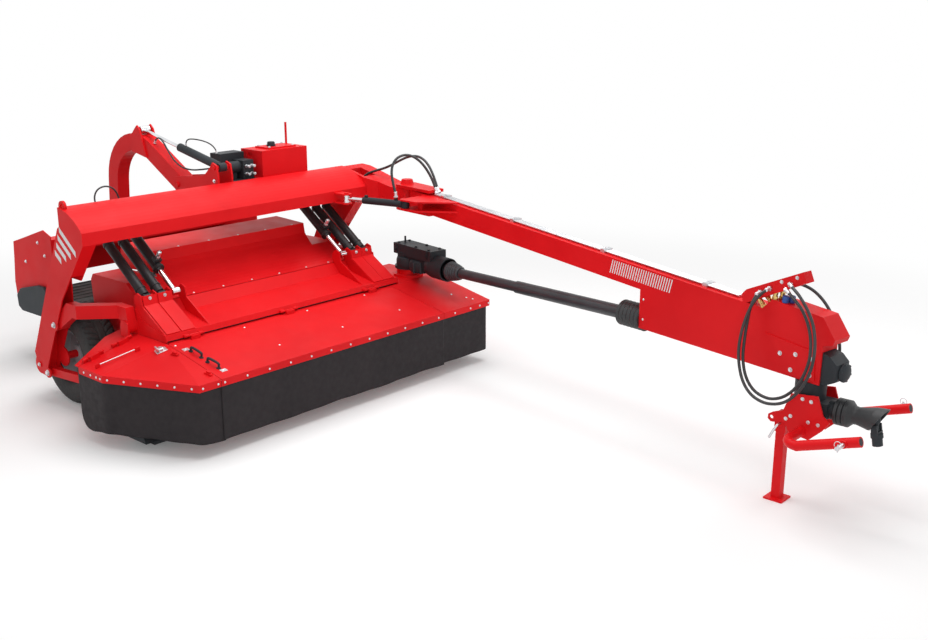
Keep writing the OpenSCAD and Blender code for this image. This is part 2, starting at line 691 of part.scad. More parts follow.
// Deck behind the front flap, both ends, and the flange round the left end
module mower_deck() color(paint) placed() {
    along_x(flap_right, deck_left) polygon(strip(deck_line, -sheet));
    // Left end: low panel, front strip and flange
    plan(side_z - sheet, side_z) polygon([[deck_left - 4, 660], [hood_x, 660], [hood_x, rear_y], [cond_half + 4.3, rear_y],
        [cond_half + 4.3, 1040], [deck_left - 4, 1040]]);
    along_x(deck_left - 8, deck_left) polygon([[645, 690], deck_line[1] - [0, 2], deck_line[2] - [0, 2], deck_line[3] - [0, 2],
        [1042, 800], [1042, side_z - 2], [660, side_z - 2]]);
    along_x(flap_left + seam, hood_x) polygon(strip([[0, flange_z], [0, flange_top], [flap_depth, flap_top], [660, side_z]], -sheet));
    along_x(hood_x - sheet, hood_x) polygon([[0, flange_z], [0, flange_top], [flap_depth, flap_top - 0.5], [rear_y, side_z],
        [rear_y, flange_z]]);
    gearbox_foot();
    for (x = hinge_x) {
        pin_x(x - 85, x + 85, flap_hinge, hinge_pin_r);
        for (s = [-65, 65]) along_x(x + s - 20, x + s + 20) {
            disc_at(flap_hinge, knuckle_r);
            translate([flap_hinge[0], flap_hinge[1] - 6]) square([24, 16]);
        }
    }
    // Closed right end of the raised deck, and the clevises of the lift arms
    along_x(flap_right, flap_right + 8) polygon([[645, 690], deck_line[1] - [0, 2], deck_line[2] - [0, 2], deck_line[3] - [0, 2],
        [1060, 800], [rear_y - 10, side_z], [rear_y - 10, side_z - sheet], [660, side_z - sheet]]);
    plan(side_z - sheet, side_z) translate([flap_right + 4, 1045]) square([-cond_half - 4.3 - flap_right - 4, rear_y - 10 - 1045]);
    for (x = [clevis_right, arm_left], s = [-1, 1]) along_x(x + s * (arm_w / 2 + 6 + fit) - 6, x + s * (arm_w / 2 + 6 + fit) + 6)
        polygon([[1008, side_z - 12], [1008, 780], [1040, 800], [1080, 800], [1112, 770], [1112, side_z - 12]]);
    for (x = [clevis_right, arm_left]) pin_x(x - arm_w / 2 - 12, x + arm_w / 2 + 12, tower_pivot, pin_r);
    on_right_hinge() for (x = right_hinge_x) {
        translate([x - 85, 0, 0]) rotate([0, 90, 0]) cylinder(r = hinge_pin_r, h = 170);
        for (s = [-65, 65]) translate([x + s - 20, 0, 0]) {
            rotate([0, 90, 0]) cylinder(r = knuckle_r, h = 40);
            translate([0, 0, -26]) cube([40, 24, 26]);
        }
    }
    // Right end behind the right flap
    y0 = right_hinge_y + seam;
    pts = [[flap_right + 4, y0, right_z], [flap_right + 4, rear_y - 10, side_z], [-1330, rear_y - 10, 655],
        [-hood_x, end_y, flange_top], [-hood_x, y0, flange_top]];
    folded(pts, [[0, 4, 1], [1, 4, 2], [2, 4, 3]], [4, 3, 2, 1, 0], sheet);
}

module conditioner_hood() color(paint) placed() {
    ends = [-cond_half, cond_mid[0], cond_mid[1], cond_half];
    // Walls and side plates end inside the sheet's thickness
    under = [0, -2];
    along_x(ends[0], ends[1]) polygon(strip(cond_low, -sheet));
    along_x(ends[1], ends[2]) polygon(strip(cond_high, -sheet));
    along_x(ends[2], ends[3]) polygon(strip(cond_low, -sheet));
    for (x = [ends[1] + 1, ends[2] - sheet - 1]) along_x(x, x + sheet)
        polygon(concat([for (i = [8 : len(cond_high) - 1]) cond_high[i] + under], [cond_low[9] + under, cond_low[8] + under]));
    for (s = [-1, 1]) along_x(s * cond_half - 4, s * cond_half + 4) difference() {
        polygon(concat([for (p = cond_low) p + under], [[cond_rear + 10, 700], [1500, 330], [1180, 250], [900, 330], [800, 440], [800, 755],
            [955, 788], [1044, 883]]));
        disc_at([rotor_y, rotor_z], 25 + fit);
    }
}

tower_x = [[-1168, -1035, -905, -778], [815, 942, 1065, 1188]];
tower_foot = deck_line[1] + [10, 2.2];
// Fold of the sheets over the springs' feet
tower_fold = [944, 912];
tower_top = [958, 986];
module tower_plate(x) along_x(x - 5, x + 5)
    polygon([tower_foot, deck_line[2] + [0, 0.1], deck_line[3] + [0, 0.1], [1052, 930], [1046, 975], [1005, 1006], [960, 990],
        tower_fold]);
module lift_towers() color(paint) placed() {
    for (list = tower_x) for (x = list) tower_plate(x);
    for (x = spring_x) along_x(x - 60, x + 57) polygon(strip([tower_foot, tower_fold, tower_top], 8));
    for (x = spring_x) pin_x(x - 65, x + 65, spring_foot, pin_r);
}

// Cross tubes, end plates and the stubs of the lower links under the hood
module mower_frame() color(paint) placed() {
    inner = cond_half - 4;
    outer = cond_half + 4;
    along_x(-inner, inner) translate([840, 660]) square([100, 85]);
    for (s = [-1, 1]) {
        along_x(s > 0 ? outer : -1530, s > 0 ? 1530 : -outer) translate([840, 460]) square([100, 85]);
        along_x(s > 0 ? 1530 : -1540, s > 0 ? 1540 : -1530) polygon([[700, 112], [730, 112], [960, 400], [960, 552], [820, 552],
            [700, 300]]);
    }
    for (s = [[-1, arm_right], [1, arm_left]]) {
        pin_x(s[0] < 0 ? s[1] - 34 : outer, s[0] < 0 ? -outer : s[1] + 34, link_end, pin_r);
        pin_x(s[0] < 0 ? s[1] + 27 : outer, s[0] < 0 ? -outer : s[1] - 27, link_end, 32);
    }
}

disc_y = 560;
module cutter_bar() color(dark) placed() {
    along_x(-1545, 1545) polygon([[440, 62], [470, 112], [730, 112], [730, 62]]);
    for (i = [0 : 7]) along_x(disc_x(i) - 110, disc_x(i) + 110)
        polygon([[430, 80], [455, 35], [510, 6], [670, 5], [750, 45], [750, 62], [440, 63]]);
}

function disc_x(i) = (i - 3.5) * disc_pitch;
module disc(i) color(dark) placed() translate([disc_x(i), disc_y, 112 + fit]) rotate([0, 0, i % 2 == 0 ? 20 : 110]) {
    cylinder(r = 70, h = 12);
    translate([0, 0, 12]) cylinder(r1 = disc_r, r2 = disc_r - 20, h = 14);
    translate([0, 0, 26]) cylinder(r1 = 95, r2 = 60, h = 26);
    for (s = [-1, 1]) {
        translate([s > 0 ? disc_r - 55 : -knife_r, -22, 2]) cube([knife_r - disc_r + 55, 44, 5]);
        translate([s * (disc_r - 30), 0, 2]) cylinder(r = 14, h = 12);
    }
}
module disc_1() disc(0);
module disc_2() disc(1);
module disc_3() disc(2);
module disc_4() disc(3);
module disc_5() disc(4);
module disc_6() disc(5);
module disc_7() disc(6);
module disc_8() disc(7);

module conditioner_rotor() color(dark) placed() translate([0, rotor_y, rotor_z]) rotate([0, 90, 0]) {
    translate([0, 0, -cond_half - 4]) cylinder(r = 25, h = 2 * cond_half + 8);
    translate([0, 0, -cond_half + 30]) cylinder(r = 95, h = 2 * cond_half - 60);
    for (i = [0 : 12]) for (k = [0 : 3]) translate([0, 0, -930 + 155 * i]) rotate([0, 0, 90 * k + 45 * (i % 2)])
        translate([80, -6, -22]) cube([tine_r - 80, 12, 44]);
}

module gearbox_foot() translate([pivot_x, pivot_y, side_z - sheet]) {
    cylinder(r = 135, h = 26 + sheet);
    cylinder(r = 105, h = 75 + sheet);
}

hinge_x = [-950, -40, 870];
module front_flap() color(paint) placed() {
    along_x(flap_right, flap_left) polygon(strip([[0, flange_z], [0, flange_top], [flap_depth - 4, flap_top - 0.8]], -sheet));
    // Tongue under the deck's front edge
    along_x(flap_right + 15, flap_left) translate([flap_depth - 12, flap_top - sheet - 1]) square([50, sheet]);
    for (x = hinge_x) along_x(x - 40, x + 40) difference() {
        union() {
            disc_at(flap_hinge, knuckle_r);
            translate([flap_depth - 26, flap_top - 7]) square([24, 31]);
        }
        disc_at(flap_hinge, hinge_pin_r + fit);
    }
}
module curtain_front() color(black) placed() along_x(flap_right, flap_left)
    translate([sheet + fit, curtain_z]) square([curtain_t, flange_z + 30 - curtain_z]);

right_rim = [[flap_right - seam, 0], [-hood_x + corner_in, 0], [-hood_x, corner_back], [-hood_x, right_hinge_y]];
module right_flap() color(paint) placed() {
    pts = [[flap_right - seam, 0, flange_top], [-hood_x + corner_in, 0, flange_top], [-hood_x, corner_back, flange_top],
        [-hood_x, right_hinge_y, flange_top], [flap_right - seam, right_hinge_y, right_z],
        [flap_right - seam, flap_depth, flap_top]];
    folded(pts, [[0, 1, 5], [1, 2, 5], [2, 3, 5], [3, 4, 5]], [0, 1, 2, 3, 4, 5], sheet);
    plan(flange_z, flange_top - sheet) polygon(strip(right_rim, -sheet));
    on_right_hinge() for (x = right_hinge_x) difference() {
        union() {
            translate([x - 40, 0, 0]) rotate([0, 90, 0]) cylinder(r = knuckle_r, h = 80);
            translate([x - 40, -26, -26]) cube([80, 23, 26]);
            translate([x - 40, -26, -4]) cube([80, 26, 14]);
        }
        translate([x - 60, 0, 0]) rotate([0, 90, 0]) cylinder(r = hinge_pin_r + fit, h = 120);
    }
}
module curtain_right() color(black) placed() {
    inner = [for (i = [0 : 3]) right_rim[i] - (sheet + fit) * miter(right_rim, i)];
    plan(curtain_z, flange_top - sheet - 10) polygon(strip(inner, -curtain_t));
}
module curtain_left() color(black) placed() {
    inner = [[flap_left + seam, sheet + fit], [hood_x - sheet - fit, sheet + fit], [hood_x - sheet - fit, end_y]];
    plan(curtain_z, flange_z + 30) polygon(strip(inner, curtain_t));
}

module swivel_gearbox() color(dark) placed() on_drawbar() {
    z0 = side_z + 75 + fit;
    // Turntable, gear case and the flat case of the input above it
    translate([0, 0, z0]) cylinder(r = 120, h = 24);
    translate([0, 0, z0]) cylinder(r = 96, h = 150);
    translate([-75, -330, z0 + 10]) cube([150, 330, 125]);
    translate([-88, -440, z0 + 130]) cube([176, 540, 95]);
    for (y = [-400, 40]) translate([-94, y, z0 + 140]) cube([188, 30, 75]);
    translate([0, 40, z0 + 220]) cylinder(r = 9, h = 60);
    translate([0, -320, gear_z]) rotate([90, 0, 0]) bell();
}
// Guard bell round the shaft's rear joint
module bell() rotate_extrude() polygon([[0, 0], [64, 0], [92, 30], [103, 90], [103, 270], [94, 270], [94, 100], [82, 60], [0, 60]]);

shaft_v = [0, shaft_front_u - shaft_rear_u, gear_z - shaft_front_z];
module in_shaft(d0, d1, r) bar([0, -shaft_front_u, shaft_front_z] + d0 * unit(shaft_v),
    [0, -shaft_front_u, shaft_front_z] + d1 * unit(shaft_v), r);
module shaft_front() color(black) placed() on_drawbar() difference() {
    union() {
        translate([0, -shaft_front_u, shaft_front_z]) {
            sphere(r = 40);
            pin_x(-cross_l / 2, cross_l / 2, [0, 0], cross_r);
        }
        in_shaft(0, 80, 28);
        in_shaft(55, 1300, shaft_r);
    }
    in_shaft(800, 1310, 42 + fit);
}
shaft_rise = atan2(shaft_front_z - gear_z, shaft_front_u - shaft_rear_u);
// Ribbed cone on the shaft, with its rear ring inside the bell
module shaft_cone() translate([0, -shaft_rear_u, gear_z]) rotate([90 - shaft_rise, 0, 0]) rotate_extrude()
    polygon([[0, -140], [54, -140], [54, -85], [84, -78], [84, -66], [78, -60], [82, -48], [74, -40], [78, -28], [70, -18], [74, -6],
        [64, 6], [68, 18], [58, 32], [60, 46], [50, 60], [0, 60]]);
module shaft_rear() color(black) placed() on_drawbar() {
    in_shaft(980, norm(shaft_v) - 20, 42);
    shaft_cone();
}

// Gooseneck arm, drawn in y and z
module arch_side() {
    d = [cos(arch_rise), sin(arch_rise)];
    c = arch_knee - arch_bend_r * left_of(d);
    h = arch_t / 2;
    a0 = 90 + arch_rise;
    a1 = 5;
    n = 12;
    polygon([along(arch_hinge, d, 0, h), along(arch_knee, d, 0, h), along(arch_knee, d, 0, -h), along(arch_hinge, d, 0, -h)]);
    disc_at(arch_hinge, h);
    polygon(concat([for (i = [0 : n]) c + (arch_bend_r + h) * [cos(a0 + (a1 - a0) * i / n), sin(a0 + (a1 - a0) * i / n)]],
        [for (i = [n : -1 : 0]) c + (arch_bend_r - h) * [cos(a0 + (a1 - a0) * i / n), sin(a0 + (a1 - a0) * i / n)]]));
    e = c + arch_bend_r * [cos(a1), sin(a1)];
    f = [sin(a1), -cos(a1)];
    polygon([along(e, f, -1, h), along(e, f, arch_drop, h), along(e, f, arch_drop, -h), along(e, f, -1, -h)]);
}
module arch_arm() color(paint) placed() {
    along_x(arch_x - 60, arch_x + 60) difference() {
        arch_side();
        translate([3000, belt_beam_z[1] - 200]) square([500, 200]);
    }
    for (x = [arch_x - 75, arch_x + 60]) along_x(x, x + 15) polygon([[2480, 1760], [2560, 2000], [2600, 2035], [2640, 2000],
        [2760, 1880], [2700, 1800]]);
    pin_x(arch_x - 90, arch_x + 90, arch_hinge, 25);
}

belt_beam_z = [930, 1055];
module belt_frame() color(paint) placed() {
    for (x = [belt_right, belt_left - 8]) along_x(x, x + 8) polygon([[belt_y - 60, 600], [belt_y - 60, 1200], [2620, 1240],
        [2990, 1120], [3150, 1070], [3165, 925], [back_y, 705], [3170, 490], [belt_y + 20, 460]]);
    along_x(belt_right + 8, belt_left - 8) {
        translate([3010, belt_beam_z[0]]) square([140, belt_beam_z[1] - belt_beam_z[0]]);
        polygon([[3175, 700], [3183, 700], [3148, belt_beam_z[0] + 2], [3140, belt_beam_z[0] + 2]]);
        disc_at([belt_y + belt_r, belt_z + belt_r], belt_r - 12 - fit);
        disc_at([belt_y + belt_d - belt_r, belt_z + belt_r], belt_r - 12 - fit);
        translate([belt_y + 120, belt_z + 25]) square([belt_d - 240, 50]);
    }
}
module belt_outline(r) hull() {
    disc_at([belt_y + belt_r, belt_z + belt_r], r);
    disc_at([belt_y + belt_d - belt_r, belt_z + belt_r], r);
}
module belt_loop() color(black) placed() along_x(belt_right + 20, belt_left - 20) difference() {
    belt_outline(belt_r);
    belt_outline(belt_r - 12);
}

module arch_cylinder(part) placed() translate([arch_x, arch_base[0], arch_base[1]]) rotate([arch_slope, 0, 0]) {
    if (part == "barrel") difference() {
        union() {
            pin_x(-35, 35, [0, 0], 36);
            translate([0, 20, 0]) rotate([-90, 0, 0]) cylinder(r = 36, h = 560);
        }
        translate([0, 120, 0]) rotate([-90, 0, 0]) cylinder(r = 16 + fit, h = 500);
        pin_x(-60, 60, [0, 0], 20 + fit);
    }
    else {
        translate([0, 520, 0]) rotate([-90, 0, 0]) cylinder(r = 16, h = arch_len - 545);
        pin_x(-45, 45, [arch_len, 0], 34);
    }
}
module arch_barrel() color(dark) arch_cylinder("barrel");
module arch_rod() color(zinc) arch_cylinder("rod");

main_beam();
pivot_horn();
legs();
beam_brackets();
oil_tank();
valve_block();
tyre_right();
rim_right();
tyre_left();
rim_left();
drawbar_beam();
oil_pipes();
upper_gearbox();
boot_front();
swing_barrel();
swing_rod();
lower_gearbox();
headstock();
pto_guard();
pto_yoke();
stand();
lift_arms();
lower_links();
spring_tubes();
spring_rods();
lift_barrels();
lift_rods();
mower_deck();
conditioner_hood();
lift_towers();
mower_frame();
cutter_bar();
curtain_left();
front_flap();
curtain_front();
right_flap();
curtain_right();
conditioner_rotor();
disc_1();
disc_2();
disc_3();
disc_4();
disc_5();
disc_6();
disc_7();
disc_8();
swivel_gearbox();
shaft_front();
shaft_rear();
arch_arm();
belt_frame();
belt_loop();
arch_barrel();
arch_rod();
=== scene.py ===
"""Trailed disc mower conditioner: finishes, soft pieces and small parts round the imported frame."""
import json
from math import cos, pi, radians, sin, tau

import bmesh
import bpy
import numpy as np
from mathutils import Matrix


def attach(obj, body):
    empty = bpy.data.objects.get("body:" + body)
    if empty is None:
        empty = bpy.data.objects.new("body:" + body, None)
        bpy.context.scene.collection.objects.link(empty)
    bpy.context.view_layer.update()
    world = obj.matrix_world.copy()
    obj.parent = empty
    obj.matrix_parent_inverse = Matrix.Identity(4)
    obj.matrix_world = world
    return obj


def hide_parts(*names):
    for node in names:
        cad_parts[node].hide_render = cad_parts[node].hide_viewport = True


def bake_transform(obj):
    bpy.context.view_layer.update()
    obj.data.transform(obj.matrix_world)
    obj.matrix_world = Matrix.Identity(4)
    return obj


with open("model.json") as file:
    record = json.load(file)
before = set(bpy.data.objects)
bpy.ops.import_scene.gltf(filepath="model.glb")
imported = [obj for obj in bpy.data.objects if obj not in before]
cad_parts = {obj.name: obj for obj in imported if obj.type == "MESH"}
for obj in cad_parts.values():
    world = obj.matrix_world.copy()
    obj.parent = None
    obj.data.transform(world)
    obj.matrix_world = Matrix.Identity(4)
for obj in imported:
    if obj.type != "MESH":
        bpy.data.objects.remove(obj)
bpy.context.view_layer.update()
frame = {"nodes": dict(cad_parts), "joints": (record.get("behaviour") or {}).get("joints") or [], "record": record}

JOINTS = {j["name"]: j for j in frame["joints"]}
# Pieces are measured from the hood's front edge; the frame's origin lies SHIFT ahead of it
PIVOT = np.array(JOINTS["drawbar_swing"]["pos_m"])
SHIFT = PIVOT[1] - 0.8
YAW = radians(-9)
DOWN, UP, BACKWARD = (0, 0, -1), (0, 0, 1), (0, 1, 0)
LEFTWARD, RIGHTWARD = (1, 0, 0), (-1, 0, 0)
SENSOR_WIDTH = 36.0
PHOTO_WIDTH, FOCAL_PIXELS = 928, 1139


def at(x, y, z):
    """A point measured from the hood's front edge, in the frame's own coordinates."""
    return np.array([x, y + SHIFT, z])


def moved(points):
    """Points measured from the hood's front edge, as rows."""
    return np.asarray(points, float) + np.array([0, SHIFT, 0])


def on_bar(points):
    """Points in the drawbar's own frame: x across it, y back from its pivot, z up."""
    p = np.atleast_2d(np.asarray(points, float))
    x = PIVOT[0] + p[:, 0] * cos(YAW) - p[:, 1] * sin(YAW)
    y = PIVOT[1] + p[:, 0] * sin(YAW) + p[:, 1] * cos(YAW)
    return np.column_stack([x, y, p[:, 2]])


BAR_SIDE = np.array([cos(YAW), sin(YAW), 0.0])
BAR_BACK = np.array([-sin(YAW), cos(YAW), 0.0])
HEAD = on_bar([0, -4.25, 0])[0]


def set_camera(azimuth, elevation, place, lens):
    """Camera at place, looking down by elevation and turned by azimuth from straight ahead."""
    a, e = radians(azimuth), radians(elevation)
    back = np.array([sin(a) * cos(e), -cos(a) * cos(e), sin(e)])
    right = np.array([cos(a), sin(a), 0.0])
    up = np.cross(back, right)
    turn = Matrix([[right[i], up[i], back[i], place[i]] for i in range(3)] + [[0, 0, 0, 1]])
    lens_data = bpy.data.cameras.new("photo_camera")
    lens_data.lens = lens
    lens_data.sensor_width = SENSOR_WIDTH
    lens_data.sensor_fit = "HORIZONTAL"
    lens_data.clip_end = 100.0
    cam = bpy.data.objects.new("photo_camera", lens_data)
    cam.matrix_world = turn
    bpy.context.scene.collection.objects.link(cam)
    bpy.context.scene.camera = cam


set_camera(-48.24, 16.07, at(-5.671, -6.28, 3.163), FOCAL_PIXELS / PHOTO_WIDTH * SENSOR_WIDTH)


# Finishes

def new_finish(name):
    """An empty node material with its shader and the object's own coordinates."""
    mat = bpy.data.materials.new(name)
    mat.use_nodes = True
    nodes = mat.node_tree.nodes
    shader = nodes["Principled BSDF"]
    where = nodes.new("ShaderNodeTexCoord")
    return mat, nodes, mat.node_tree.links, shader, where.outputs["Object"]


def speckle(nodes, links, where, scale, detail=4.0, stretch=None):
    """Noise on the object's own coordinates, drawn out along an axis where stretch is given."""
    if stretch is not None:
        turn = nodes.new("ShaderNodeMapping")
        turn.inputs["Scale"].default_value = stretch
        links.new(where, turn.inputs["Vector"])
        where = turn.outputs["Vector"]
    noise = nodes.new("ShaderNodeTexNoise")
    noise.inputs["Scale"].default_value = scale
    noise.inputs["Detail"].default_value = detail
    links.new(where, noise.inputs["Vector"])
    return noise.outputs["Fac"]


def ramp(nodes, links, fac, stops, socket):
    """Sends colours or greys laid over a factor to a socket: stops are (position, colour)."""
    node = nodes.new("ShaderNodeValToRGB")
    links.new(fac, node.inputs["Fac"])
    while len(node.color_ramp.elements) < len(stops):
        node.color_ramp.elements.new(0.5)
    for element, (place, colour) in zip(node.color_ramp.elements, stops):
        element.position = place
        element.color = (*colour, 1.0)
    links.new(node.outputs["Color"], socket)


def grey(value):
    """A grey as three equal parts."""
    return (value, value, value)


def bumped(nodes, links, shader, height, strength, distance):
    """Sends a height to the shader's normal."""
    node = nodes.new("ShaderNodeBump")
    node.inputs["Strength"].default_value = strength
    node.inputs["Distance"].default_value = distance
    links.new(height, node.inputs["Height"])
    links.new(node.outputs["Normal"], shader.inputs["Normal"])


def combined(nodes, links, operation, *values):
    """A maths node on two values, each a socket or a plain number."""
    node = nodes.new("ShaderNodeMath")
    node.operation = operation
    for socket, value in zip(node.inputs, values):
        if isinstance(value, float):
            socket.default_value = value
        else:
            links.new(value, socket)
    return node.outputs["Value"]


def painted(name, colour, dull, rough, coat=0.0, grain=0.05, peel=160.0):
    """Sprayed paint: colour drifting to dull over a slow noise, a fine orange peel, uneven gloss."""
    mat, nodes, links, shader, where = new_finish(name)
    slow = speckle(nodes, links, where, 1.6, 3.0)
    ramp(nodes, links, slow, [(0.36, dull), (0.6, colour)], shader.inputs["Base Color"])
    fine = speckle(nodes, links, where, 7.0, 5.0)
    gloss = [(0.3, grey(rough - 0.04)), (0.75, grey(rough + 0.08))]
    ramp(nodes, links, fine, gloss, shader.inputs["Roughness"])
    bumped(nodes, links, shader, speckle(nodes, links, where, peel, 1.0), grain, 0.0004)
    shader.inputs["Coat Weight"].default_value = coat
    shader.inputs["Coat Roughness"].default_value = 0.15
    shader.inputs["Specular IOR Level"].default_value = 0.14
    return mat


def bare_metal(name, colour, rough, stretch):
    """Plated or polished steel: brushed along one axis by a drawn-out noise."""
    mat, nodes, links, shader, where = new_finish(name)
    shader.inputs["Metallic"].default_value = 1.0
    slow = speckle(nodes, links, where, 6.0)
    tints = [(0.3, [c * 0.78 for c in colour]), (0.7, colour)]
    ramp(nodes, links, slow, tints, shader.inputs["Base Color"])
    drawn = speckle(nodes, links, where, 40.0, 3.0, stretch)
    gloss = [(0.3, grey(rough)), (0.8, grey(rough + 0.14))]
    ramp(nodes, links, drawn, gloss, shader.inputs["Roughness"])
    bumped(nodes, links, shader, drawn, 0.06, 0.0005)
    return mat


def rubbery(name, colour, bloom, rough, scale=60.0):
    """Rubber or moulded plastic: a pale bloom over the colour and a fine grain."""
    mat, nodes, links, shader, where = new_finish(name)
    slow = speckle(nodes, links, where, 5.0, 6.0)
    ramp(nodes, links, slow, [(0.38, colour), (0.8, bloom)], shader.inputs["Base Color"])
    fine = speckle(nodes, links, where, scale, 3.0)
    gloss = [(0.3, grey(rough - 0.08)), (0.8, grey(rough + 0.1))]
    ramp(nodes, links, fine, gloss, shader.inputs["Roughness"])
    bumped(nodes, links, shader, fine, 0.12, 0.0008)
    return mat


def woven(name, colour, bloom, rough):
    """Coated cloth: two crossed fine waves give the weave, with a faint dusty bloom."""
    mat, nodes, links, shader, where = new_finish(name)
    slow = speckle(nodes, links, where, 3.5, 5.0)
    ramp(nodes, links, slow, [(0.4, colour), (0.78, bloom)], shader.inputs["Base Color"])
    heights = []
    for axis in ("X", "Z"):
        wave = nodes.new("ShaderNodeTexWave")
        wave.bands_direction = axis
        wave.inputs["Scale"].default_value = 260.0
        wave.inputs["Distortion"].default_value = 0.6
        links.new(where, wave.inputs["Vector"])
        heights.append(wave.outputs["Fac"])
    gloss = [(0.3, grey(rough - 0.06)), (0.7, grey(rough + 0.1))]
    ramp(nodes, links, speckle(nodes, links, where, 24.0), gloss, shader.inputs["Roughness"])
    bumped(nodes, links, shader, combined(nodes, links, "ADD", *heights), 0.12, 0.0004)
    shader.inputs["Specular IOR Level"].default_value = 0.25
    return mat


RED = painted("red_paint", (0.80, 0.010, 0.014), (0.72, 0.007, 0.011), 0.42)
DARK = painted("dark_paint", (0.040, 0.046, 0.052), (0.028, 0.032, 0.036), 0.44, grain=0.12, peel=60.0)
CLOTH = woven("curtain_cloth", (0.021, 0.017, 0.019), (0.026, 0.021, 0.023), 0.66)
TYRE = rubbery("tyre_rubber", (0.016, 0.016, 0.017), (0.04, 0.038, 0.036), 0.75)
RIM = painted("rim_silver", (0.55, 0.56, 0.58), (0.46, 0.46, 0.48), 0.38)
ZINC = bare_metal("zinc_steel", (0.74, 0.75, 0.77), 0.28, (1.0, 0.06, 1.0))
CHROME = bare_metal("chrome_rod", (0.85, 0.86, 0.88), 0.08, (1.0, 0.1, 0.1))
BOOT = rubbery("boot_rubber", (0.018, 0.019, 0.021), (0.04, 0.04, 0.042), 0.5)
GUARD = rubbery("shaft_guard", (0.024, 0.026, 0.031), (0.045, 0.048, 0.054), 0.42)
BELT = rubbery("belt_rubber", (0.018, 0.018, 0.018), (0.05, 0.047, 0.044), 0.7)
HOSE = rubbery("hose_rubber", (0.020, 0.021, 0.023), (0.045, 0.046, 0.048), 0.40, 140.0)
TUBE = painted("black_tube", (0.032, 0.031, 0.033), (0.022, 0.021, 0.023), 0.34, coat=0.1)
WHITE = painted("white_mark", (0.86, 0.86, 0.87), (0.80, 0.80, 0.81), 0.42)
BRASS = bare_metal("brass_fitting", (0.80, 0.56, 0.20), 0.26, (1.0, 1.0, 0.2))
BLUE = rubbery("blue_cap", (0.02, 0.07, 0.32), (0.03, 0.10, 0.40), 0.42)
FINISH = {"red_paint": RED, "dark_paint": DARK, "curtain": CLOTH, "tyre": TYRE, "rim": RIM,
          "zinc_steel": ZINC, "chrome_rod": CHROME, "boot_rubber": BOOT, "shaft_guard": GUARD,
          "belt_rubber": BELT}
OWN_FINISH = {"spring_tubes": TUBE, "lift_barrels": TUBE}


def dress_solids():
    """Each solid of the frame takes the finish of its slot in the record, or one of its own."""
    for row in frame["record"]["subparts"]:
        materials = frame["nodes"][row["node"]].data.materials
        materials.clear()
        materials.append(OWN_FINISH.get(row["node"], FINISH[row["material_slot"]]))


dress_solids()


# Shapes: each returns its points as rows and its faces as lists of indices

def grid_faces(rows, cols, closed):
    """Quads between neighbouring rows and columns; closed joins the last column to the first."""
    i, j = np.meshgrid(np.arange(rows - 1), np.arange(cols if closed else cols - 1), indexing="ij")
    k = (j + 1) % cols
    quads = np.stack([i * cols + j, i * cols + k, (i + 1) * cols + k, (i + 1) * cols + j], -1)
    return quads.reshape(-1, 4).tolist()


def capped_faces(rows, cols):
    """Quads of a closed grid, and one face each over its first and its last row."""
    last = (rows - 1) * cols
    return grid_faces(rows, cols, True) + [list(range(cols)), list(range(last, last + cols))]


def angles(count):
    """Angles at even steps round a full turn."""
    return tau * np.arange(count) / count


def unit(v):
    """Vectors divided by their own lengths."""
    v = np.asarray(v, float)
    return v / np.linalg.norm(v, axis=-1, keepdims=True)


def smooth_line(points, per=6):
    """A line through the points: on each stretch the cubic whose ends run along the chords of their
    neighbours, cut into per steps."""
    p = np.asarray(points, float)
    q = np.vstack([2 * p[0] - p[1], p, 2 * p[-1] - p[-2]])
    t = np.linspace(0, 1, per, endpoint=False)[None, :, None]
    a, b, c, d = q[:-3, None], q[1:-2, None], q[2:-1, None], q[3:, None]
    line = 0.5 * (2 * b + (c - a) * t + (2 * a - 5 * b + 4 * c - d) * t**2
                  + (3 * b - a - 3 * c + d) * t**3)
    return np.vstack([line.reshape(-1, p.shape[1]), p[-1]])


def tube(line, radius, sides, aside):
    """A circle of that radius carried along the line, turned so that its first spoke is square to aside."""
    along = unit(np.gradient(line, axis=0))
    n1 = unit(np.cross(along, aside))
    n2 = np.cross(along, n1)
    w = angles(sides)
    ring = np.cos(w)[None, :, None] * n1[:, None] + np.sin(w)[None, :, None] * n2[:, None]
    radius = np.broadcast_to(np.asarray(radius, float), (len(line),))
    points = (line[:, None] + radius[:, None, None] * ring).reshape(-1, 3)
    return points, capped_faces(len(line), sides)


def turned(profile, sides):
    """A profile of (radius, height) rows turned about the z axis, with flat ends where it stops off it."""
    r, h = np.asarray(profile, float).T
    w = angles(sides)
    rings = [r[:, None] * np.cos(w), r[:, None] * np.sin(w), np.repeat(h[:, None], sides, 1)]
    return np.stack(rings, -1).reshape(-1, 3), capped_faces(len(r), sides)


def slab(outline, low, high):
    """An outline in x and y, carried from low to high along z."""
    o = np.asarray(outline, float)
    points = np.vstack([np.column_stack([o, np.full(len(o), h)]) for h in (low, high)])
    return points, capped_faces(2, len(o))


def brick(size):
    """A block of that size, standing on z 0 round the z axis."""
    x, y = size[0] / 2, size[1] / 2
    return slab([(-x, -y), (x, -y), (x, y), (-x, y)], 0.0, size[2])


def joined(*shapes):
    """Several shapes in one mesh."""
    points, faces, start = [], [], 0
    for p, f in shapes:
        points.append(p)
        faces += [[i + start for i in face] for face in f]
        start += len(p)
    return np.vstack(points), faces


def scaled(shape, scale):
    """One shape made larger or smaller."""
    return shape[0] * scale, shape[1]


# A slanted way that no piece stands along
ASKEW = (0.31, 0.17, 0.93)


def facing(normals, along=ASKEW):
    """Turns whose z axes are the normals and whose x axes lie square to along."""
    n = unit(np.atleast_2d(np.asarray(normals, float)))
    x = np.cross(np.broadcast_to(np.asarray(along, float), n.shape), n)
    x = unit(np.where(np.linalg.norm(x, axis=1, keepdims=True) < 1e-6, np.cross(n, [1.0, 0, 0.2]), x))
    return np.stack([x, np.cross(n, x), n], -1)


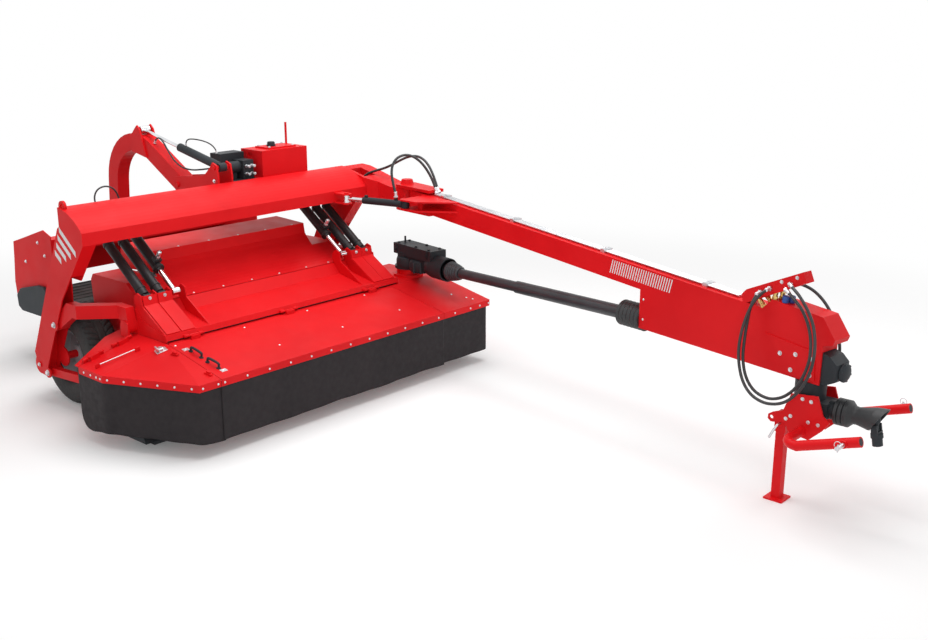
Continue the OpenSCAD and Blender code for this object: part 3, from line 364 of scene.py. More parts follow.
def repeated(shape, places, turns):
    """One shape at many places, each turned by its own matrix."""
    points, faces = shape
    places = np.atleast_2d(np.asarray(places, float))
    n = len(points)
    all_points = np.einsum("kij,vj->kvi", turns, points) + places[:, None]
    return all_points.reshape(-1, 3), [[i + k * n for i in f] for k in range(len(places)) for f in faces]


def set_at(shape, place, normal, along=ASKEW):
    """One shape set on a place with its z axis along normal."""
    return repeated(shape, [place], facing([normal], along))


def seat(node, place, aim):
    """Where a line from place along aim meets a solid, and the solid's normal there."""
    hit, spot, normal, _ = frame["nodes"][node].ray_cast(place, aim)
    if not hit:
        raise RuntimeError(f"nothing of {node} lies along {aim} from {place}")
    return np.array(spot), np.array(normal)


def seats(node, places, aim):
    """Seats of many places, as rows of spots and rows of normals."""
    spots = [seat(node, p, aim) for p in places]
    return np.array([s[0] for s in spots]), np.array([s[1] for s in spots])


SHARP = 38


def make(name, shape, finish, sharp=SHARP):
    """A mesh object at the origin: doubles merged, faces turned outwards, smooth but for its sharp edges."""
    data = bpy.data.meshes.new(name)
    data.from_pydata(shape[0].tolist(), [], shape[1])
    bm = bmesh.new()
    bm.from_mesh(data)
    bmesh.ops.remove_doubles(bm, verts=bm.verts, dist=1e-6)
    bmesh.ops.dissolve_degenerate(bm, edges=bm.edges, dist=1e-6)
    bmesh.ops.recalc_face_normals(bm, faces=bm.faces)
    bm.to_mesh(data)
    bm.free()
    data.polygons.foreach_set("use_smooth", np.ones(len(data.polygons), bool))
    data.set_sharp_from_angle(angle=radians(sharp))
    data.materials.append(finish)
    obj = bpy.data.objects.new(name, data)
    bpy.context.scene.collection.objects.link(obj)
    return obj


def soften(obj, width):
    """Rounds the edges of a hard piece."""
    mod = obj.modifiers.new("soft_edges", "BEVEL")
    mod.width = width
    mod.segments = 2
    mod.limit_method = "ANGLE"
    mod.angle_limit = radians(40)


def add(name, shape, finish, body, sharp=SHARP):
    """A piece in a finish that rides on a body."""
    obj = make(name, shape, finish, sharp)
    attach(obj, body)
    return obj


# Hoses

# The sleeve and the nut are drawn for a hose of this diameter
FITTED = 0.02
FERRULE = [(0.0, -0.002), (0.0115, -0.002), (0.0135, 0.001), (0.0135, 0.008), (0.0125, 0.010),
           (0.0135, 0.012), (0.0135, 0.019), (0.0125, 0.021), (0.0135, 0.023), (0.0135, 0.033),
           (0.0115, 0.036), (0.0, 0.036)]
NUT = [(0.0, 0.0), (0.0165, 0.0), (0.018, 0.002), (0.018, 0.014), (0.0165, 0.016), (0.0, 0.016)]


def hose_end(line, end, scale):
    """Crimped sleeve and nut on one end of a hose's line, set along it and sized with the hose."""
    tip, inner = (line[0], line[3]) if end == 0 else (line[-1], line[-4])
    aim = unit(inner - tip)
    sleeve, nut = turned(np.array(FERRULE) * scale, 14), turned(np.array(NUT) * scale, 6)
    return joined(set_at(sleeve, tip + 0.014 * scale * aim, aim), set_at(nut, tip + 0.0005 * aim, aim))


def hose(name, points, aside, body=None, blend=None, diameter=FITTED, ends=(0, 1)):
    """A hose along a smooth line through points, with crimped ends, that goes back into the part at its far end.
    It rides on one body; with blend it stays where it lies and its end pieces ride on blend's two bodies, and the
    places in blend where the bend starts and ends are not used."""
    line = smooth_line(points)
    obj = make(name, tube(line, diameter / 2, 14, aside), HOSE)
    carriers = blend[:2] if blend else (body, body)
    for end in ends:
        cap = hose_end(line, end, diameter / FITTED)
        add(f"{name}_end_{end + 1}", cap, ZINC, carriers[end])
    if blend:
        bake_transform(obj)
    else:
        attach(obj, body)


LOOP_1 = [(-0.0805, -3.950, 1.368), (-0.118, -3.950, 1.362), (-0.150, -3.930, 1.335),
          (-0.180, -3.890, 1.260), (-0.205, -3.858, 1.130), (-0.225, -3.850, 1.000),
          (-0.240, -3.868, 0.890), (-0.250, -3.912, 0.785), (-0.255, -3.980, 0.715),
          (-0.255, -4.065, 0.685), (-0.255, -4.150, 0.690), (-0.250, -4.235, 0.725),
          (-0.245, -4.308, 0.795), (-0.235, -4.362, 0.890), (-0.220, -4.388, 1.000),
          (-0.200, -4.382, 1.115), (-0.178, -4.345, 1.225), (-0.155, -4.280, 1.310),
          (-0.130, -4.200, 1.375), (-0.105, -4.130, 1.410), (-0.0805, -4.090, 1.425)]
LOOP_2 = [(-0.0805, -3.885, 1.332), (-0.112, -3.882, 1.322), (-0.138, -3.872, 1.285),
          (-0.158, -3.862, 1.215), (-0.172, -3.858, 1.120), (-0.185, -3.858, 1.020),
          (-0.203, -3.870, 0.910), (-0.220, -3.912, 0.808), (-0.229, -3.980, 0.738),
          (-0.230, -4.062, 0.710), (-0.230, -4.140, 0.716), (-0.225, -4.218, 0.755),
          (-0.215, -4.286, 0.828), (-0.205, -4.330, 0.925), (-0.190, -4.347, 1.025),
          (-0.172, -4.332, 1.130), (-0.152, -4.288, 1.225), (-0.130, -4.220, 1.300),
          (-0.106, -4.135, 1.350), (-0.0805, -4.060, 1.385)]
FRONT_3 = [(0.0005, -4.050, 1.395), (0.035, -4.058, 1.398), (0.066, -4.090, 1.392), (0.088, -4.145, 1.368),
           (0.100, -4.205, 1.325), (0.107, -4.262, 1.262), (0.112, -4.310, 1.180), (0.115, -4.343, 1.092),
           (0.116, -4.356, 1.008), (0.115, -4.345, 0.930), (0.114, -4.302, 0.868), (0.1115, -4.258, 0.846),
           (0.103, -4.222, 0.843), (0.0885, -4.206, 0.843)]
for number, loop in enumerate((LOOP_1, LOOP_2, FRONT_3), 1):
    hose(f"hose_front_{number}", on_bar(loop), BAR_SIDE + [0, 0, 0.02], "drawbar")

PIVOT_1 = moved([(1.400, 1.300, 1.4505), (1.404, 1.296, 1.492), (1.418, 1.280, 1.538),
                 (1.446, 1.240, 1.578), (1.476, 1.175, 1.606), (1.498, 1.095, 1.632), (1.512, 1.010, 1.668),
                 (1.520, 0.925, 1.710), (1.524, 0.840, 1.748), (1.521, 0.755, 1.771), (1.514, 0.670, 1.775),
                 (1.506, 0.592, 1.752), (1.496, 0.525, 1.705), (1.485, 0.470, 1.642), (1.474, 0.428, 1.580),
                 (1.464, 0.396, 1.530), (1.4605, 0.372, 1.494)])
PIVOT_2 = moved([(1.0985, 0.5395, 1.4785), (1.098, 0.545, 1.520), (1.100, 0.572, 1.600),
                 (1.112, 0.600, 1.680), (1.138, 0.612, 1.748), (1.178, 0.604, 1.798), (1.226, 0.578, 1.824),
                 (1.276, 0.542, 1.822), (1.322, 0.500, 1.790), (1.360, 0.460, 1.735), (1.390, 0.425, 1.665),
                 (1.410, 0.398, 1.595), (1.420, 0.380, 1.535), (1.4215, 0.3685, 1.4945)])
hose("hose_pivot_1", PIVOT_1, (1, 0.1, 0.05), diameter=0.022, ends=(1,),
     blend=("frame", "drawbar", PIVOT_1[3].tolist(), PIVOT_1[13].tolist()))
hose("hose_pivot_2", PIVOT_2, (0.3, 1, 0.05), diameter=0.022,
     blend=("swing_barrel", "drawbar", PIVOT_2[2].tolist(), PIVOT_2[11].tolist()))

ARM_FEED = moved([(0.000, 2.420, 1.8820), (0.000, 2.405, 1.9090), (0.000, 2.383, 1.9300),
                  (0.000, 2.352, 1.9390), (0.000, 2.318, 1.9310), (0.000, 2.282, 1.9050),
                  (0.000, 2.240, 1.8600), (0.000, 2.190, 1.8070), (0.000, 2.130, 1.7590),
                  (0.003, 2.060, 1.7240), (0.012, 1.985, 1.7060), (0.030, 1.915, 1.7010),
                  (0.056, 1.855, 1.7060), (0.088, 1.808, 1.7130), (0.125, 1.782, 1.7180),
                  (0.1595, 1.774, 1.7200)])
BARREL_FEED = moved([(0.020, 1.9828, 1.9003), (0.020, 1.9765, 1.9270), (0.021, 1.9620, 1.9480),
                     (0.026, 1.9380, 1.9600), (0.038, 1.9060, 1.9630), (0.058, 1.8700, 1.9600),
                     (0.084, 1.8340, 1.9510), (0.112, 1.8020, 1.9360), (0.138, 1.7770, 1.9130),
                     (0.157, 1.7610, 1.8830), (0.164, 1.7550, 1.8600), (0.166, 1.7535, 1.8395)])
BEAM_LOOP = moved([(-1.150, 1.4490, 1.598), (-1.150, 1.476, 1.600), (-1.150, 1.502, 1.611),
                   (-1.149, 1.517, 1.636), (-1.146, 1.521, 1.668), (-1.134, 1.519, 1.700),
                   (-1.112, 1.516, 1.723), (-1.080, 1.514, 1.735), (-1.046, 1.514, 1.736),
                   (-1.010, 1.515, 1.725), (-0.978, 1.517, 1.703), (-0.956, 1.519, 1.671),
                   (-0.946, 1.517, 1.637), (-0.943, 1.502, 1.611), (-0.942, 1.476, 1.600),
                   (-0.942, 1.4490, 1.598)])
hose("hose_arch_1", ARM_FEED, (1, 0.1, 0.05), diameter=0.014,
     blend=("belt_arch", "frame", ARM_FEED[8].tolist(), ARM_FEED[12].tolist()))
hose("hose_arch_2", BARREL_FEED, (1, 0.3, 0.05), diameter=0.011,
     blend=("arch_barrel", "frame", BARREL_FEED[1].tolist(), BARREL_FEED[9].tolist()))
hose("hose_beam", BEAM_LOOP, (0.05, 1, 0.3), "frame", diameter=0.013)


# Curtains

def inset(rim, d):
    """A line moved inwards by d: each corner lies where its two moved stretches meet."""
    p = np.asarray(rim, float)
    run = unit(np.diff(p, axis=0))
    side = np.column_stack([-run[:, 1], run[:, 0]])
    a = np.vstack([side[:1], side])
    b = np.vstack([side, side[-1:]])
    return p + d * (a + b) / (1 + np.sum(a * b, axis=1, keepdims=True))


def rounded(points, r, steps=7):
    """A line whose inner corners are cut by quadratic curves that start r before and end r after them."""
    p = np.asarray(points, float)
    t = np.linspace(0, 1, steps)[:, None]
    out = [p[:1]]
    for k in range(1, len(p) - 1):
        a, b = p[k] - r * unit(p[k] - p[k - 1]), p[k] + r * unit(p[k + 1] - p[k])
        out.append((1 - t)**2 * a + 2 * t * (1 - t) * p[k] + t**2 * b)
    return np.vstack(out + [p[-1:]])


def spaced(line, step):
    """Points at even steps along a line, and how far along it each lies."""
    run = np.concatenate([[0], np.cumsum(np.linalg.norm(np.diff(line, axis=0), axis=1))])
    s = np.linspace(0, run[-1], int(run[-1] / step) + 1)
    return np.column_stack([np.interp(s, run, line[:, k]) for k in range(line.shape[1])]), s


def rim_line(rim):
    """A rim with its corners rounded, as points at even steps, and how far along it each lies."""
    return spaced(rounded(rim, 0.045), 0.012)


def curtain(name, rim, top, low, phase, ripple, body, node):
    """A hung sheet. s runs along its rim and t down it: the sheet leaves the rim's line by ripple times t to
    the power 1.5 times three sines of s, which die away towards both ends, and its hem stands at low plus two
    small sines."""
    line, s = rim_line(rim)
    run = unit(np.gradient(line, axis=0))
    out = np.column_stack([run[:, 1], -run[:, 0]])
    t = np.linspace(0, 1, 26)[:, None]
    wave = (0.50 * np.sin(tau * s / 0.74 + phase) + 0.30 * np.sin(tau * s / 0.31 + 2.1 * phase)
            + 0.20 * np.sin(tau * s / 0.155 + 0.7 * phase) * np.sin(tau * s / 1.9))
    hem = low + 0.003 * np.sin(tau * s / 0.9 + phase) + 0.0015 * np.sin(tau * s / 0.33)
    ends = np.clip(np.minimum(s, s[-1] - s) / 0.14, 0, 1)
    offset = ripple * t**1.5 * wave * ends**2 * (3 - 2 * ends)
    flat = line[None] + offset[..., None] * out[None]
    z = top - t * (top - hem)
    points = moved(np.concatenate([flat, z[..., None]], -1).reshape(-1, 3))
    obj = make(name, (points, grid_faces(len(t), len(s), False)), CLOTH, 180)
    mod = obj.modifiers.new("cloth_thickness", "SOLIDIFY")
    mod.thickness = 0.004
    mod.offset = 0.0
    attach(obj, body)
    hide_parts(node)


RIGHT_RIM = [(-1.70, 1.03), (-1.70, 0.69), (-1.37, 0.0), (-1.165, 0.0)]
LEFT_RIM = [(1.095, 0.0), (1.70, 0.0), (1.70, 1.05)]
FRONT_RIM = [(-1.183, 0.0), (1.113, 0.0)]
# How far the sheets hang inside the rims, and how much further where one passes under the next
SHEET_IN, UNDER = 0.0064, 0.0054


def right_hem(rim):
    """Hem of the right curtain: a quarter round at its rear end, a low belly ahead of it, a little higher
    along the cut corner."""
    s = rim_line(rim)[1]
    lift = np.clip(1 - s / 0.085, 0, 1)
    return (0.116 + 0.095 * (1 - np.sqrt(1 - lift**2)) - 0.028 * np.exp(-((s - 0.12) / 0.10)**2)
            + 0.008 * np.exp(-((s - 0.62) / 0.20)**2) - 0.014 * np.clip((s - 0.95) / 0.3, 0, 1))


RIGHT_LINE = inset(RIGHT_RIM, SHEET_IN + UNDER)
curtain("curtain_cloth_front", inset(FRONT_RIM, SHEET_IN), 0.536, 0.106, 0.4, 0.004,
        "front_flap", "curtain_front")
curtain("curtain_cloth_right", RIGHT_LINE, 0.545, right_hem(RIGHT_LINE), 1.3, 0.010,
        "right_flap", "curtain_right")
curtain("curtain_cloth_left", inset(LEFT_RIM, SHEET_IN + UNDER), 0.536, 0.114, 2.2, 0.006,
        "mower", "curtain_left")


# Bolts

BOLT = joined(turned([(0.0, 0.0), (0.0105, 0.0), (0.0105, 0.0016), (0.0, 0.0016)], 14),
              turned([(0.0, 0.0017), (0.0075, 0.0017), (0.0078, 0.0022), (0.0078, 0.0062), (0.0068, 0.0074),
                      (0.0, 0.0074)], 6))
DOME = turned([(0.0, 0.0), (0.0088, 0.0), (0.0088, 0.0012), (0.0076, 0.0034), (0.0050, 0.0049),
               (0.0, 0.0055)], 14)


def big_bolt(scale):
    """The bolt made larger."""
    return scaled(BOLT, scale)


def row(start, end, count):
    """Points at even steps from start to end."""
    return np.linspace(np.asarray(start, float), np.asarray(end, float), count)


def bolted(name, body, groups, finish=ZINC):
    """Bolt heads seated on solids: each group is (shape, node, places, aim)."""
    shapes = []
    for shape, node, places, aim in groups:
        spots, normals = seats(node, places, aim)
        shapes.append(repeated(shape, spots - 0.0002 * normals, facing(normals)))
    add(name, joined(*shapes), finish, body)


FLANGE_Z, OUTSIDE, NEAR_BAR = 0.533, 1.9, 0.4


def above(points, z=0.86):
    """Places to seat bolts from at the height z, over points given by x and y."""
    return moved([(x, y, z) for x, y in points])


def ahead(xs):
    """Places to seat bolts from ahead of the front flange, given by x."""
    return moved([(x, -0.2, FLANGE_Z) for x in xs])


def beside(x, points):
    """Places to seat bolts from at one x, given by how far back and how high they lie."""
    return moved([(x, y, z) for y, z in points])


def bar_places(points, x):
    """Places beside the drawbar, given by how far ahead of its pivot they lie and how high."""
    return on_bar([(x, -u, z) for u, z in points])


FLANGE_X = (-1.152, -0.956, -0.756, -0.557, -0.356, -0.158, 0.042, 0.243, 0.445, 0.644, 0.847, 1.044)
bolted("bolts_front_flap", "front_flap", [
    (DOME, "front_flap", ahead(FLANGE_X), BACKWARD),
    (DOME, "front_flap", above([(-1.150, 0.583), (-0.521, 0.585), (0.116, 0.592), (0.759, 0.598),
                                (-0.482, 0.217), (0.159, 0.218), (0.811, 0.230)]), DOWN)])
DIAGONAL = unit([0.69, 0.33, 0])
CUT_CORNER = row((-1.395, 0.052, FLANGE_Z), (-1.682, 0.652, FLANGE_Z), 6)
RIGHT_END = [(y, FLANGE_Z) for y in (0.715, 0.765, 0.84, 0.93)]
bolted("bolts_right_flap", "right_flap", [
    (DOME, "right_flap", ahead((-1.210, -1.339)), BACKWARD),
    (DOME, "right_flap", moved(CUT_CORNER - 0.2 * DIAGONAL), DIAGONAL),
    (DOME, "right_flap", beside(-OUTSIDE, RIGHT_END), LEFTWARD)])
LEFT_END = [(y, FLANGE_Z) for y in (0.03, 0.25, 0.45, 0.65, 0.85, 1.03)]
HOOD_FRONT = [(x, 1.062) for x in (-0.631, -0.347, -0.062, 0.225, 0.520, 0.770)]
HOOD_TOP = [(x, 1.437) for x in (-0.745, -0.492, -0.194, 0.105, 0.396, 0.691)]
SPRING_X = {"right": (-1.100, -0.970), "left": (1.000, 1.120)}
TOWERS = moved([(x, 0.5, 0.965) for side in SPRING_X.values() for x in side])
bolted("bolts_mower", "mower", [
    (DOME, "mower_deck", ahead((1.248, 1.447, 1.569, 1.685)), BACKWARD),
    (DOME, "mower_deck", beside(OUTSIDE, LEFT_END), RIGHTWARD),
    (DOME, "mower_deck", above([(1.467, 0.243), (1.540, 0.132), (1.567, 0.082)]), DOWN),
    (DOME, "conditioner_hood", above(HOOD_FRONT, 1.2), DOWN),
    (DOME, "conditioner_hood", above(HOOD_TOP, 1.3), DOWN),
    (big_bolt(1.3), "lift_towers", TOWERS, BACKWARD)])
bolted("bolts_frame", "frame", [
    (big_bolt(2.3), "legs", beside(-OUTSIDE, [(1.67, 0.70), (1.845, 0.275)]), LEFTWARD),
    (big_bolt(2.3), "legs", beside(OUTSIDE, [(1.67, 0.70)]), RIGHTWARD),
    (big_bolt(1.6), "legs", beside(-OUTSIDE, [(1.955, 0.322)]), LEFTWARD),
    (big_bolt(1.4), "oil_tank", above([(x, y) for x in (0.58, 0.84) for y in (1.56, 1.71)], 2.0), DOWN),
    (big_bolt(1.5), "beam_brackets", beside(-0.4, [(1.50, 1.55), (1.58, 1.55), (1.50, 1.66)]), LEFTWARD)])

NOSE = ((4.178, 0.988), (4.064, 0.969), (4.150, 0.880), (4.300, 0.985), (4.290, 0.880))
HOUSING = ((2.900, 1.076), (2.900, 0.930))
bolted("bolts_drawbar", "drawbar", [
    (big_bolt(1.45), "drawbar_beam", bar_places(NOSE, -NEAR_BAR), BAR_SIDE),
    (big_bolt(1.45), "drawbar_beam", bar_places(NOSE, NEAR_BAR), -BAR_SIDE),
    (DOME, "drawbar_beam", bar_places(HOUSING, -NEAR_BAR), BAR_SIDE),
    (DOME, "drawbar_beam", bar_places(HOUSING, NEAR_BAR), -BAR_SIDE),
    (big_bolt(1.2), "oil_pipes", on_bar([(0.0, -u, 1.6) for u in (0.56, 1.45, 2.45, 3.40)]), DOWN)])
PLATE = ((-0.068, 0.724), (0.060, 0.600), (-0.059, 0.587), (0.090, 0.575), (-0.124, 0.585), (-0.010, 0.730))
bolted("bolts_headstock", "headstock", [
    (big_bolt(1.2), "headstock", HEAD + [(-NEAR_BAR, y, z) for y, z in PLATE], LEFTWARD),
    (big_bolt(1.2), "headstock", HEAD + [(NEAR_BAR, y, z) for y, z in PLATE], RIGHTWARD)])


# Marks on the paint

def marks(name, body, outlines, face, lift):
    """Flat marks that stand a hair above a face: outlines are rows of points, lift the way out of it."""
    shapes = []
    lift = np.asarray(lift, float)
    for outline in outlines:
        p = face(np.asarray(outline, float))
        shapes.append((np.vstack([p - 0.0003 * lift, p + 0.0006 * lift]), capped_faces(2, len(p))))
    add(name, joined(*shapes), WHITE, body)


def bands(starts, ends, width):
    """Slanted bands between starts and ends, width tall."""
    half = np.array([0, width / 2])
    return [[a + half, b + half, b - half, a - half] for a, b in zip(np.array(starts), np.array(ends))]


def hatch_stroke(u):
    """One slanted stroke of the drawbar's hatch, whose foot starts u ahead of the pivot: its foot and its
    head follow the edges of the beam's side, which fall by a slope."""
    slope = 0.0725
    foot = [(-v, 1.392 - slope * v + 0.005) for v in (u, u + 0.0085)]
    head = [(-v, 1.497 - slope * v) for v in (u + 0.0335, u + 0.025)]
    return foot + head


STRIPE_FRONT = [(1.246, 1.318), (1.318, 1.290), (1.390, 1.262), (1.464, 1.234)]
STRIPE_BACK = [(1.452, 1.478), (1.482, 1.415), (1.512, 1.352), (1.543, 1.290)]
marks("leg_stripes", "frame", bands(STRIPE_BACK, STRIPE_FRONT, 0.044),
      lambda o: moved(np.column_stack([np.full(len(o), -1.5), o])), RIGHTWARD)
marks("drawbar_hatch", "drawbar", [hatch_stroke(u) for u in np.arange(2.565, 3.135, 0.0215)],
      lambda o: on_bar(np.column_stack([np.full(len(o), -0.08), o])), -BAR_SIDE)


# Rubber strips that close the slit behind the front flap and the seam between deck and hood

def crosswise(outline, x, low, high):
    """An outline in y and z, carried across the machine from low to high to the right of x."""
    sideways = np.array([[[0, 0, -1], [1, 0, 0], [0, 1, 0]]])
    return repeated(slab(np.array(outline) + [SHIFT, 0], low, high), [(x, 0, 0)], sideways)


SEAM = [(1.010, 0.8545), (1.036, 0.881), (1.075, 0.8945), (1.075, 0.888), (1.038, 0.874), (1.013, 0.849)]
add("hood_seal", crosswise(SEAM, 0, -1.05, 1.05), BOOT, "mower")
SLIT = np.array([(-1.172, 0.674), (1.232, 0.674), (1.232, 0.680), (-1.172, 0.680)]) + [0, SHIFT]
soften(add("flap_seal", slab(SLIT, 0.672, 0.7425), BOOT, "mower"), 0.0015)


# Handles and latches on the flaps

GRIP_RISE = 0.036
GRIP_FOOT = turned([(0.0, 0.0), (0.017, 0.0), (0.017, 0.004), (0.012, 0.008), (0.0, 0.008)], 16)


def grip(start, end):
    """A bent round handle: from one foot up, along and down to the other foot, with a disc under each foot.
    Its start and end are each a place and the normal there."""
    (a, normal_a), (b, normal_b) = start, end
    n = unit(normal_a + normal_b)
    along = unit(b - a)
    knee_a, knee_b = a + 0.6 * GRIP_RISE * n, b + 0.6 * GRIP_RISE * n
    top_a, top_b = a + GRIP_RISE * n + 0.012 * along, b + GRIP_RISE * n - 0.012 * along
    line = smooth_line([a, knee_a, top_a, top_b, knee_b, b])
    thick = 0.0075 + 0.002 * np.sin(pi * np.linspace(0, 1, len(line)))
    return joined(tube(line, thick, 12, np.cross(n, along)), set_at(GRIP_FOOT, a, n), set_at(GRIP_FOOT, b, n))


def flap_seat(x, y, node="front_flap"):
    """The place on top of a flap at x and y, and the normal there."""
    return seat(node, at(x, y, 0.9), DOWN)


HANDLES = joined(grip(flap_seat(-1.108, 0.455), flap_seat(-1.104, 0.335)),
                 grip(flap_seat(-1.108, 0.258), flap_seat(-1.098, 0.142)))
add("flap_handles", HANDLES, DARK, "front_flap")
for number, (x, y) in enumerate(((-1.122, 0.497), (-1.086, 0.100)), 1):
    spot, normal = flap_seat(x, y)
    plate = joined(set_at(brick((0.050, 0.036, 0.003)), spot, normal, BACKWARD),
                   set_at(DOME, spot + 0.003 * normal, normal))
    soften(add(f"flap_plate_{number}", plate, ZINC, "front_flap"), 0.0008)
for number, (x, y) in enumerate(((-1.235, 0.467), (-1.216, 0.104)), 1):
    spot, normal = flap_seat(x, y, "right_flap")
    latch = joined(set_at(brick((0.062, 0.026, 0.012)), spot, normal, (1, 0.25, 0)),
                   set_at(brick((0.034, 0.018, 0.013)), spot + 0.012 * normal, normal, (1, 0.25, 0)))
    soften(add(f"flap_latch_{number}", latch, RED, "right_flap"), 0.002)


def flap_catch():
    """A plate with a round knob and an upright tab."""
    spot, normal = flap_seat(-1.262, 0.600, "right_flap")
    knob = turned([(0.0, 0.005), (0.024, 0.005), (0.024, 0.022), (0.018, 0.028), (0.0, 0.028)], 20)
    tab_foot = spot + np.array([-0.032, 0, 0]) + 0.005 * normal
    return joined(set_at(brick((0.085, 0.060, 0.005)), spot, normal, (0.2, 1, 0)), set_at(knob, spot, normal),
                  set_at(brick((0.012, 0.050, 0.030)), tab_foot, normal, (0.2, 1, 0)))


soften(add("flap_catch", flap_catch(), ZINC, "right_flap"), 0.0012)


def stay_rod():
    """Thin rod held a finger above the right flap by an eye plate at each end."""
    a, na = flap_seat(-1.640, 0.830, "right_flap")
    b, nb = flap_seat(-1.350, 0.765, "right_flap")
    rod = tube(row(a + 0.020 * na, b + 0.020 * nb, 8), 0.0042, 10, UP)
    eyes = [set_at(brick((0.010, 0.040, 0.032)), p, n, (1, -0.2, 0)) for p, n in ((a, na), (b, nb))]
    return rod, joined(*eyes)


ROD, EYES = stay_rod()
add("flap_rod", ROD, ZINC, "right_flap")
soften(add("flap_rod_eyes", EYES, RED, "right_flap"), 0.003)


# Wheels: treaded tyres, nuts, hub caps and valves

TYRE_HALF, TYRE_R, RIM_R = 0.135, 0.405, 0.205
AXLE_Y = 1.76
TYRE_SIDE = [(RIM_R, -0.088), (RIM_R + 0.030, -TYRE_HALF + 0.012), (RIM_R + 0.090, -TYRE_HALF),
             (TYRE_R - 0.045, -TYRE_HALF + 0.004), (TYRE_R - 0.012, -TYRE_HALF + 0.028),
             (TYRE_R - 0.001, -TYRE_HALF + 0.060), (TYRE_R, -0.03)]
TYRE_LINE = TYRE_SIDE + [(r, -w) for r, w in reversed(TYRE_SIDE)]


def on_axle(x, rise=0.0):
    """A point x across the machine on the axle's line, or rise above it: the tyres stand on the ground."""
    return at(x, AXLE_Y, TYRE_R + rise)


def treaded_tyre(x):
    """Tyre: its section turned about the axle. The tread falls by a groove's depth along two rings and along
    slanted cross grooves, where a cosine of the turn and of the place across the tread passes a level; the
    side wall has fine rings."""
    line = spaced(smooth_line(TYRE_LINE, 10), 0.0062)[0]
    r, w = line.T
    turns = 384
    angle = angles(turns)
    tread = np.clip((r - (TYRE_R - 0.030)) / 0.012, 0, 1)
    rings = np.exp(-((np.abs(w) - 0.034) / 0.0055)**2)
    slant = np.cos(48 * angle[None] + 70 * np.abs(w)[:, None])
    cross = np.clip((slant - 0.45) * 3.0, 0, 1) * np.clip((np.abs(w) - 0.036)[:, None] / 0.006, 0, 1)
    depth = 0.010 * tread[:, None] * np.maximum(rings[:, None], cross)
    wall = 0.0008 * np.sin(tau * r / 0.018) * (1 - tread) * np.clip((r - 0.24) / 0.02, 0, 1)
    radius = r[:, None] - depth
    across = np.repeat((w - np.sign(w) * np.abs(wall))[:, None], turns, 1)
    points = np.stack([x + across, radius * np.cos(angle), radius * np.sin(angle)], -1).reshape(-1, 3)
    rows = len(r)
    faces = grid_faces(rows, turns, True)
    first = np.arange(turns)
    last = (rows - 1) * turns + first
    faces += np.stack([first, np.roll(first, -1), np.roll(last, -1), last], -1).tolist()
    return points + on_axle(0), faces


HUB_CAP = [(0.0, 0.0), (0.056, 0.0), (0.056, 0.006), (0.050, 0.012), (0.046, 0.030), (0.038, 0.040),
           (0.0, 0.043)]
WHEEL_NUT = joined(turned([(0.0, 0.0), (0.017, 0.0), (0.014, 0.004), (0.0, 0.004)], 14),
                   turned([(0.0, 0.004), (0.0125, 0.004), (0.0125, 0.017), (0.010, 0.020), (0.0, 0.020)], 6))
STUDS = 5
STUD_RING = 0.092 * np.column_stack([np.zeros(STUDS), np.cos(angles(STUDS)), np.sin(angles(STUDS))])
for side, x in (("right", -1.243), ("left", 1.465)):
    body = f"wheel_{side}"
    tyre = add(f"tread_{side}", treaded_tyre(x), TYRE, body, 50)
    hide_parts(f"tyre_{side}")
    nuts = [repeated(WHEEL_NUT, STUD_RING + on_axle(x + d), facing([way] * STUDS))
            for d, way in ((0.0042, RIGHTWARD), (0.0158, LEFTWARD))]
    valve = tube(row(on_axle(x + 0.0155, 0.150), on_axle(x + 0.052, 0.163), 6), 0.0048, 10, BACKWARD)
    add(f"wheel_nuts_{side}", joined(*nuts, valve), ZINC, body)
    cap = set_at(turned(HUB_CAP, 28), on_axle(x + 0.0449), LEFTWARD)
    add(f"hub_cap_{side}", cap, RIM, body)


# Hose rack: couplers, caps and bolts

COUPLER = joined(turned([(0.0, 0.0), (0.019, 0.0), (0.0195, 0.002), (0.0195, 0.020), (0.018, 0.022),
                         (0.0, 0.022)], 6),
                 turned([(0.0, 0.0221), (0.0150, 0.0221), (0.0150, 0.034), (0.0170, 0.036), (0.0170, 0.060),
                         (0.0155, 0.062), (0.0155, 0.068), (0.0100, 0.070), (0.0100, 0.060),
                         (0.0, 0.060)], 20))
CAP = turned([(0.0, 0.0), (0.0165, 0.0), (0.0205, 0.004), (0.0205, 0.040), (0.0175, 0.046), (0.0, 0.048)], 20)


def under_rack(shape, points):
    """One shape at each point across and along the bar, seated on the leaning underside of the hose rack."""
    spots, normals = seats("drawbar_beam", on_bar([(x, -u, 1.10) for x, u in points]), UP)
    return repeated(shape, spots, facing(normals))


COUPLER_PLACES = [(-0.062, 3.905), (-0.022, 3.930), (-0.060, 3.975), (-0.020, 4.000)]
add("rack_couplers", under_rack(COUPLER, COUPLER_PLACES), BRASS, "drawbar")
add("rack_caps", under_rack(CAP, [(-0.058, 4.052), (-0.020, 4.074)]), BLUE, "drawbar")
bolted("bolts_rack", "drawbar", [
    (big_bolt(1.2), "drawbar_beam", bar_places(((4.03, 1.425), (4.14, 1.472)), -NEAR_BAR), BAR_SIDE)])
